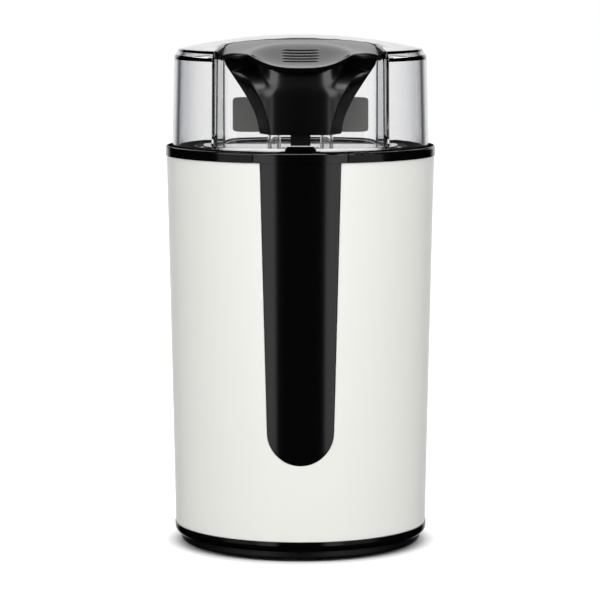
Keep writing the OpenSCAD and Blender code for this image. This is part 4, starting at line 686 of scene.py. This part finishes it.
def front(x, z, crease, half):
    """Y of the trunk's front: a depth behind the face's foremost line. The face is a wide curve
    that leans back a little in its upper part. The column in its middle ends in round edges, which
    are tighter below. Beside it, webs lean back more, and the shallower of the two counts with a
    soft change. Behind the creases the flanks run back to the rear edge."""
    face = x * x / (2 * FACE_R)
    round_w = ROUND_LOW + ROUND_MORE / (1 + np.exp(ROUND_Z - z))
    column = COLUMN_SLOPE * ramp(x - COLUMN_W, round_w)
    web = WEB_SLOPE * ramp(z - WEB_Z, WEB_START)
    shallower = (column + web) / 2 - np.sqrt((column - web) ** 2 / 4 + WEB_SOFT) + WEB_LEVEL
    depth = face + shallower + LEAN * ramp(z - LEAN_Z, LEAN_START)
    back = FACE_Y - REAR_Y
    pitch = np.maximum(back - depth[:, -1:], FLANK_DEPTH) / (half - crease)
    depth = depth + pitch * ramp(x - crease, CREASE_ROUND)
    return np.minimum(depth, back) - FACE_Y


z = np.linspace(TRUNK_LOW, TRUNK_TOP, TRUNK_ROWS)[:, None]
half = np.interp(z, trunk_z, trunk_w)
crease = np.interp(z, trunk_z, crease_w)
x = np.linspace(0, 1, TRUNK_COLUMNS)[None, :] * half
y = front(x, z, crease, half)
trunk = np.stack([x, y, np.minimum(z, top_z(x, y) - BELOW_PLATE)], axis=-1)


def mirrored(*patches):
    """Points and quads of patches on the right-hand side, and of the same patches mirrored to the
    left, with the order of their corners turned round."""
    points, faces, start = [], [], 0
    for patch, flip in patches:
        for side in (1, -1):
            points.append((patch * np.array([side, 1, 1])).reshape(-1, 3))
            quads = grid_faces(patch.shape[0], patch.shape[1], start)
            faces.append(quads[:, ::-1] if (side < 0) != flip else quads)
            start += patch.shape[0] * patch.shape[1]
    return np.concatenate(points), np.concatenate(faces)


# The lever's mould is polished less than the collar's, so what it mirrors has soft edges
LEVER_WALL = 1.2
satin_abs = finish("abs_satin", "#050506", 0.24, 1.6, 0.012, IOR=1.53)
lever_top = build("lever_top_plate", *mirrored((plate, True), (roll, True)), satin_abs,
                  "lever", "black_gloss", 0.02)
sheet_wall(lever_top, LEVER_WALL, 0.2, corner=0.7)
lever_trunk = build("lever_trunk", *mirrored((trunk, False)), satin_abs,
                    "lever", "black_gloss", 0.02)
sheet_wall(lever_trunk, LEVER_WALL, 0.25, corner=0.7)
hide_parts("press_lever")
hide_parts("press_lever")

# The guide plate behind the lever is a black moulding that runs in the notch: a flat plate with
# round corners, whose outline is an oval of a high power, the superellipse, filled with smaller
# ones down to its middle. Its matt grey is painted reflection: the pale veil the clear wall
# mirrors.
GUIDE_TOP, GUIDE_POWER, GUIDE_RINGS, GUIDE_STEPS = 165.2, 18.0, 8, 160
low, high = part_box("lever_guide")
guide_w, guide_low, guide_thick = high[0] * 1000, low[2] * 1000, (high[1] - low[1]) * 1000
t = np.linspace(0, 2 * math.pi, GUIDE_STEPS, endpoint=False)[None, :]
ring = np.linspace(0, 1, GUIDE_RINGS)[:, None]
side_x = ring * np.sign(np.sin(t)) * np.abs(np.sin(t)) ** (2 / GUIDE_POWER)
side_z = -ring * np.sign(np.cos(t)) * np.abs(np.cos(t)) ** (2 / GUIDE_POWER)
guide_z = (guide_low + GUIDE_TOP) / 2 + (GUIDE_TOP - guide_low) / 2 * side_z
guide = np.stack([guide_w * side_x, np.full_like(side_x, low[1] * 1000), guide_z], axis=-1)
# Painted reflection: matt grey with a fine even grain, for the pale veil over the black plate
painted_veil_abs = finish("abs_black_painted_veil", "#7F7F7B", 0.5, 0.4, 0.15, IOR=1.53)
guide_plate = build("lever_guide_plate", guide, grid_faces(GUIDE_RINGS, GUIDE_STEPS, closed=True),
                    painted_veil_abs, "lever", "black_satin")
sheet_wall(guide_plate, guide_thick, 0.3)
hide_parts("lever_guide")
dress(textured_abs, "lever_tongue")
shortening_spring("lever_spring_coils", "lever_springs", "lid")

# Thumb rest: five low ribs across the dish, each a round wave, the square of a cosine, that fades
# out to the sides with a high power of x over the rest's half width. Between them the sheet dips
# just below the plate.
RIBS, REST_W, REST_PITCH, REST_Y = 5, 7.0, 1.9, -36.0
REST_RISE, REST_DIP = 0.22, 0.05
RIB_STEPS, ALONG_STEPS = 61, 121
across, along = np.meshgrid(np.linspace(-1, 1, RIB_STEPS),
                            np.linspace(-RIBS / 2, RIBS / 2, ALONG_STEPS))
x, y = REST_W * across, REST_Y + REST_PITCH * along
wave = np.cos(math.pi * along) ** 2 * (1 - across ** 8)
ribs = np.stack([x, y, top_z(x, y) - REST_DIP + (REST_RISE + REST_DIP) * wave], axis=-1)
rest = build("thumb_ribs", ribs, grid_faces(ALONG_STEPS, RIB_STEPS), satin_abs,
             "lever", "black_gloss")
sheet_wall(rest, 0.4, 0.04)
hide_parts("thumb_rest")

low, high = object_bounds()
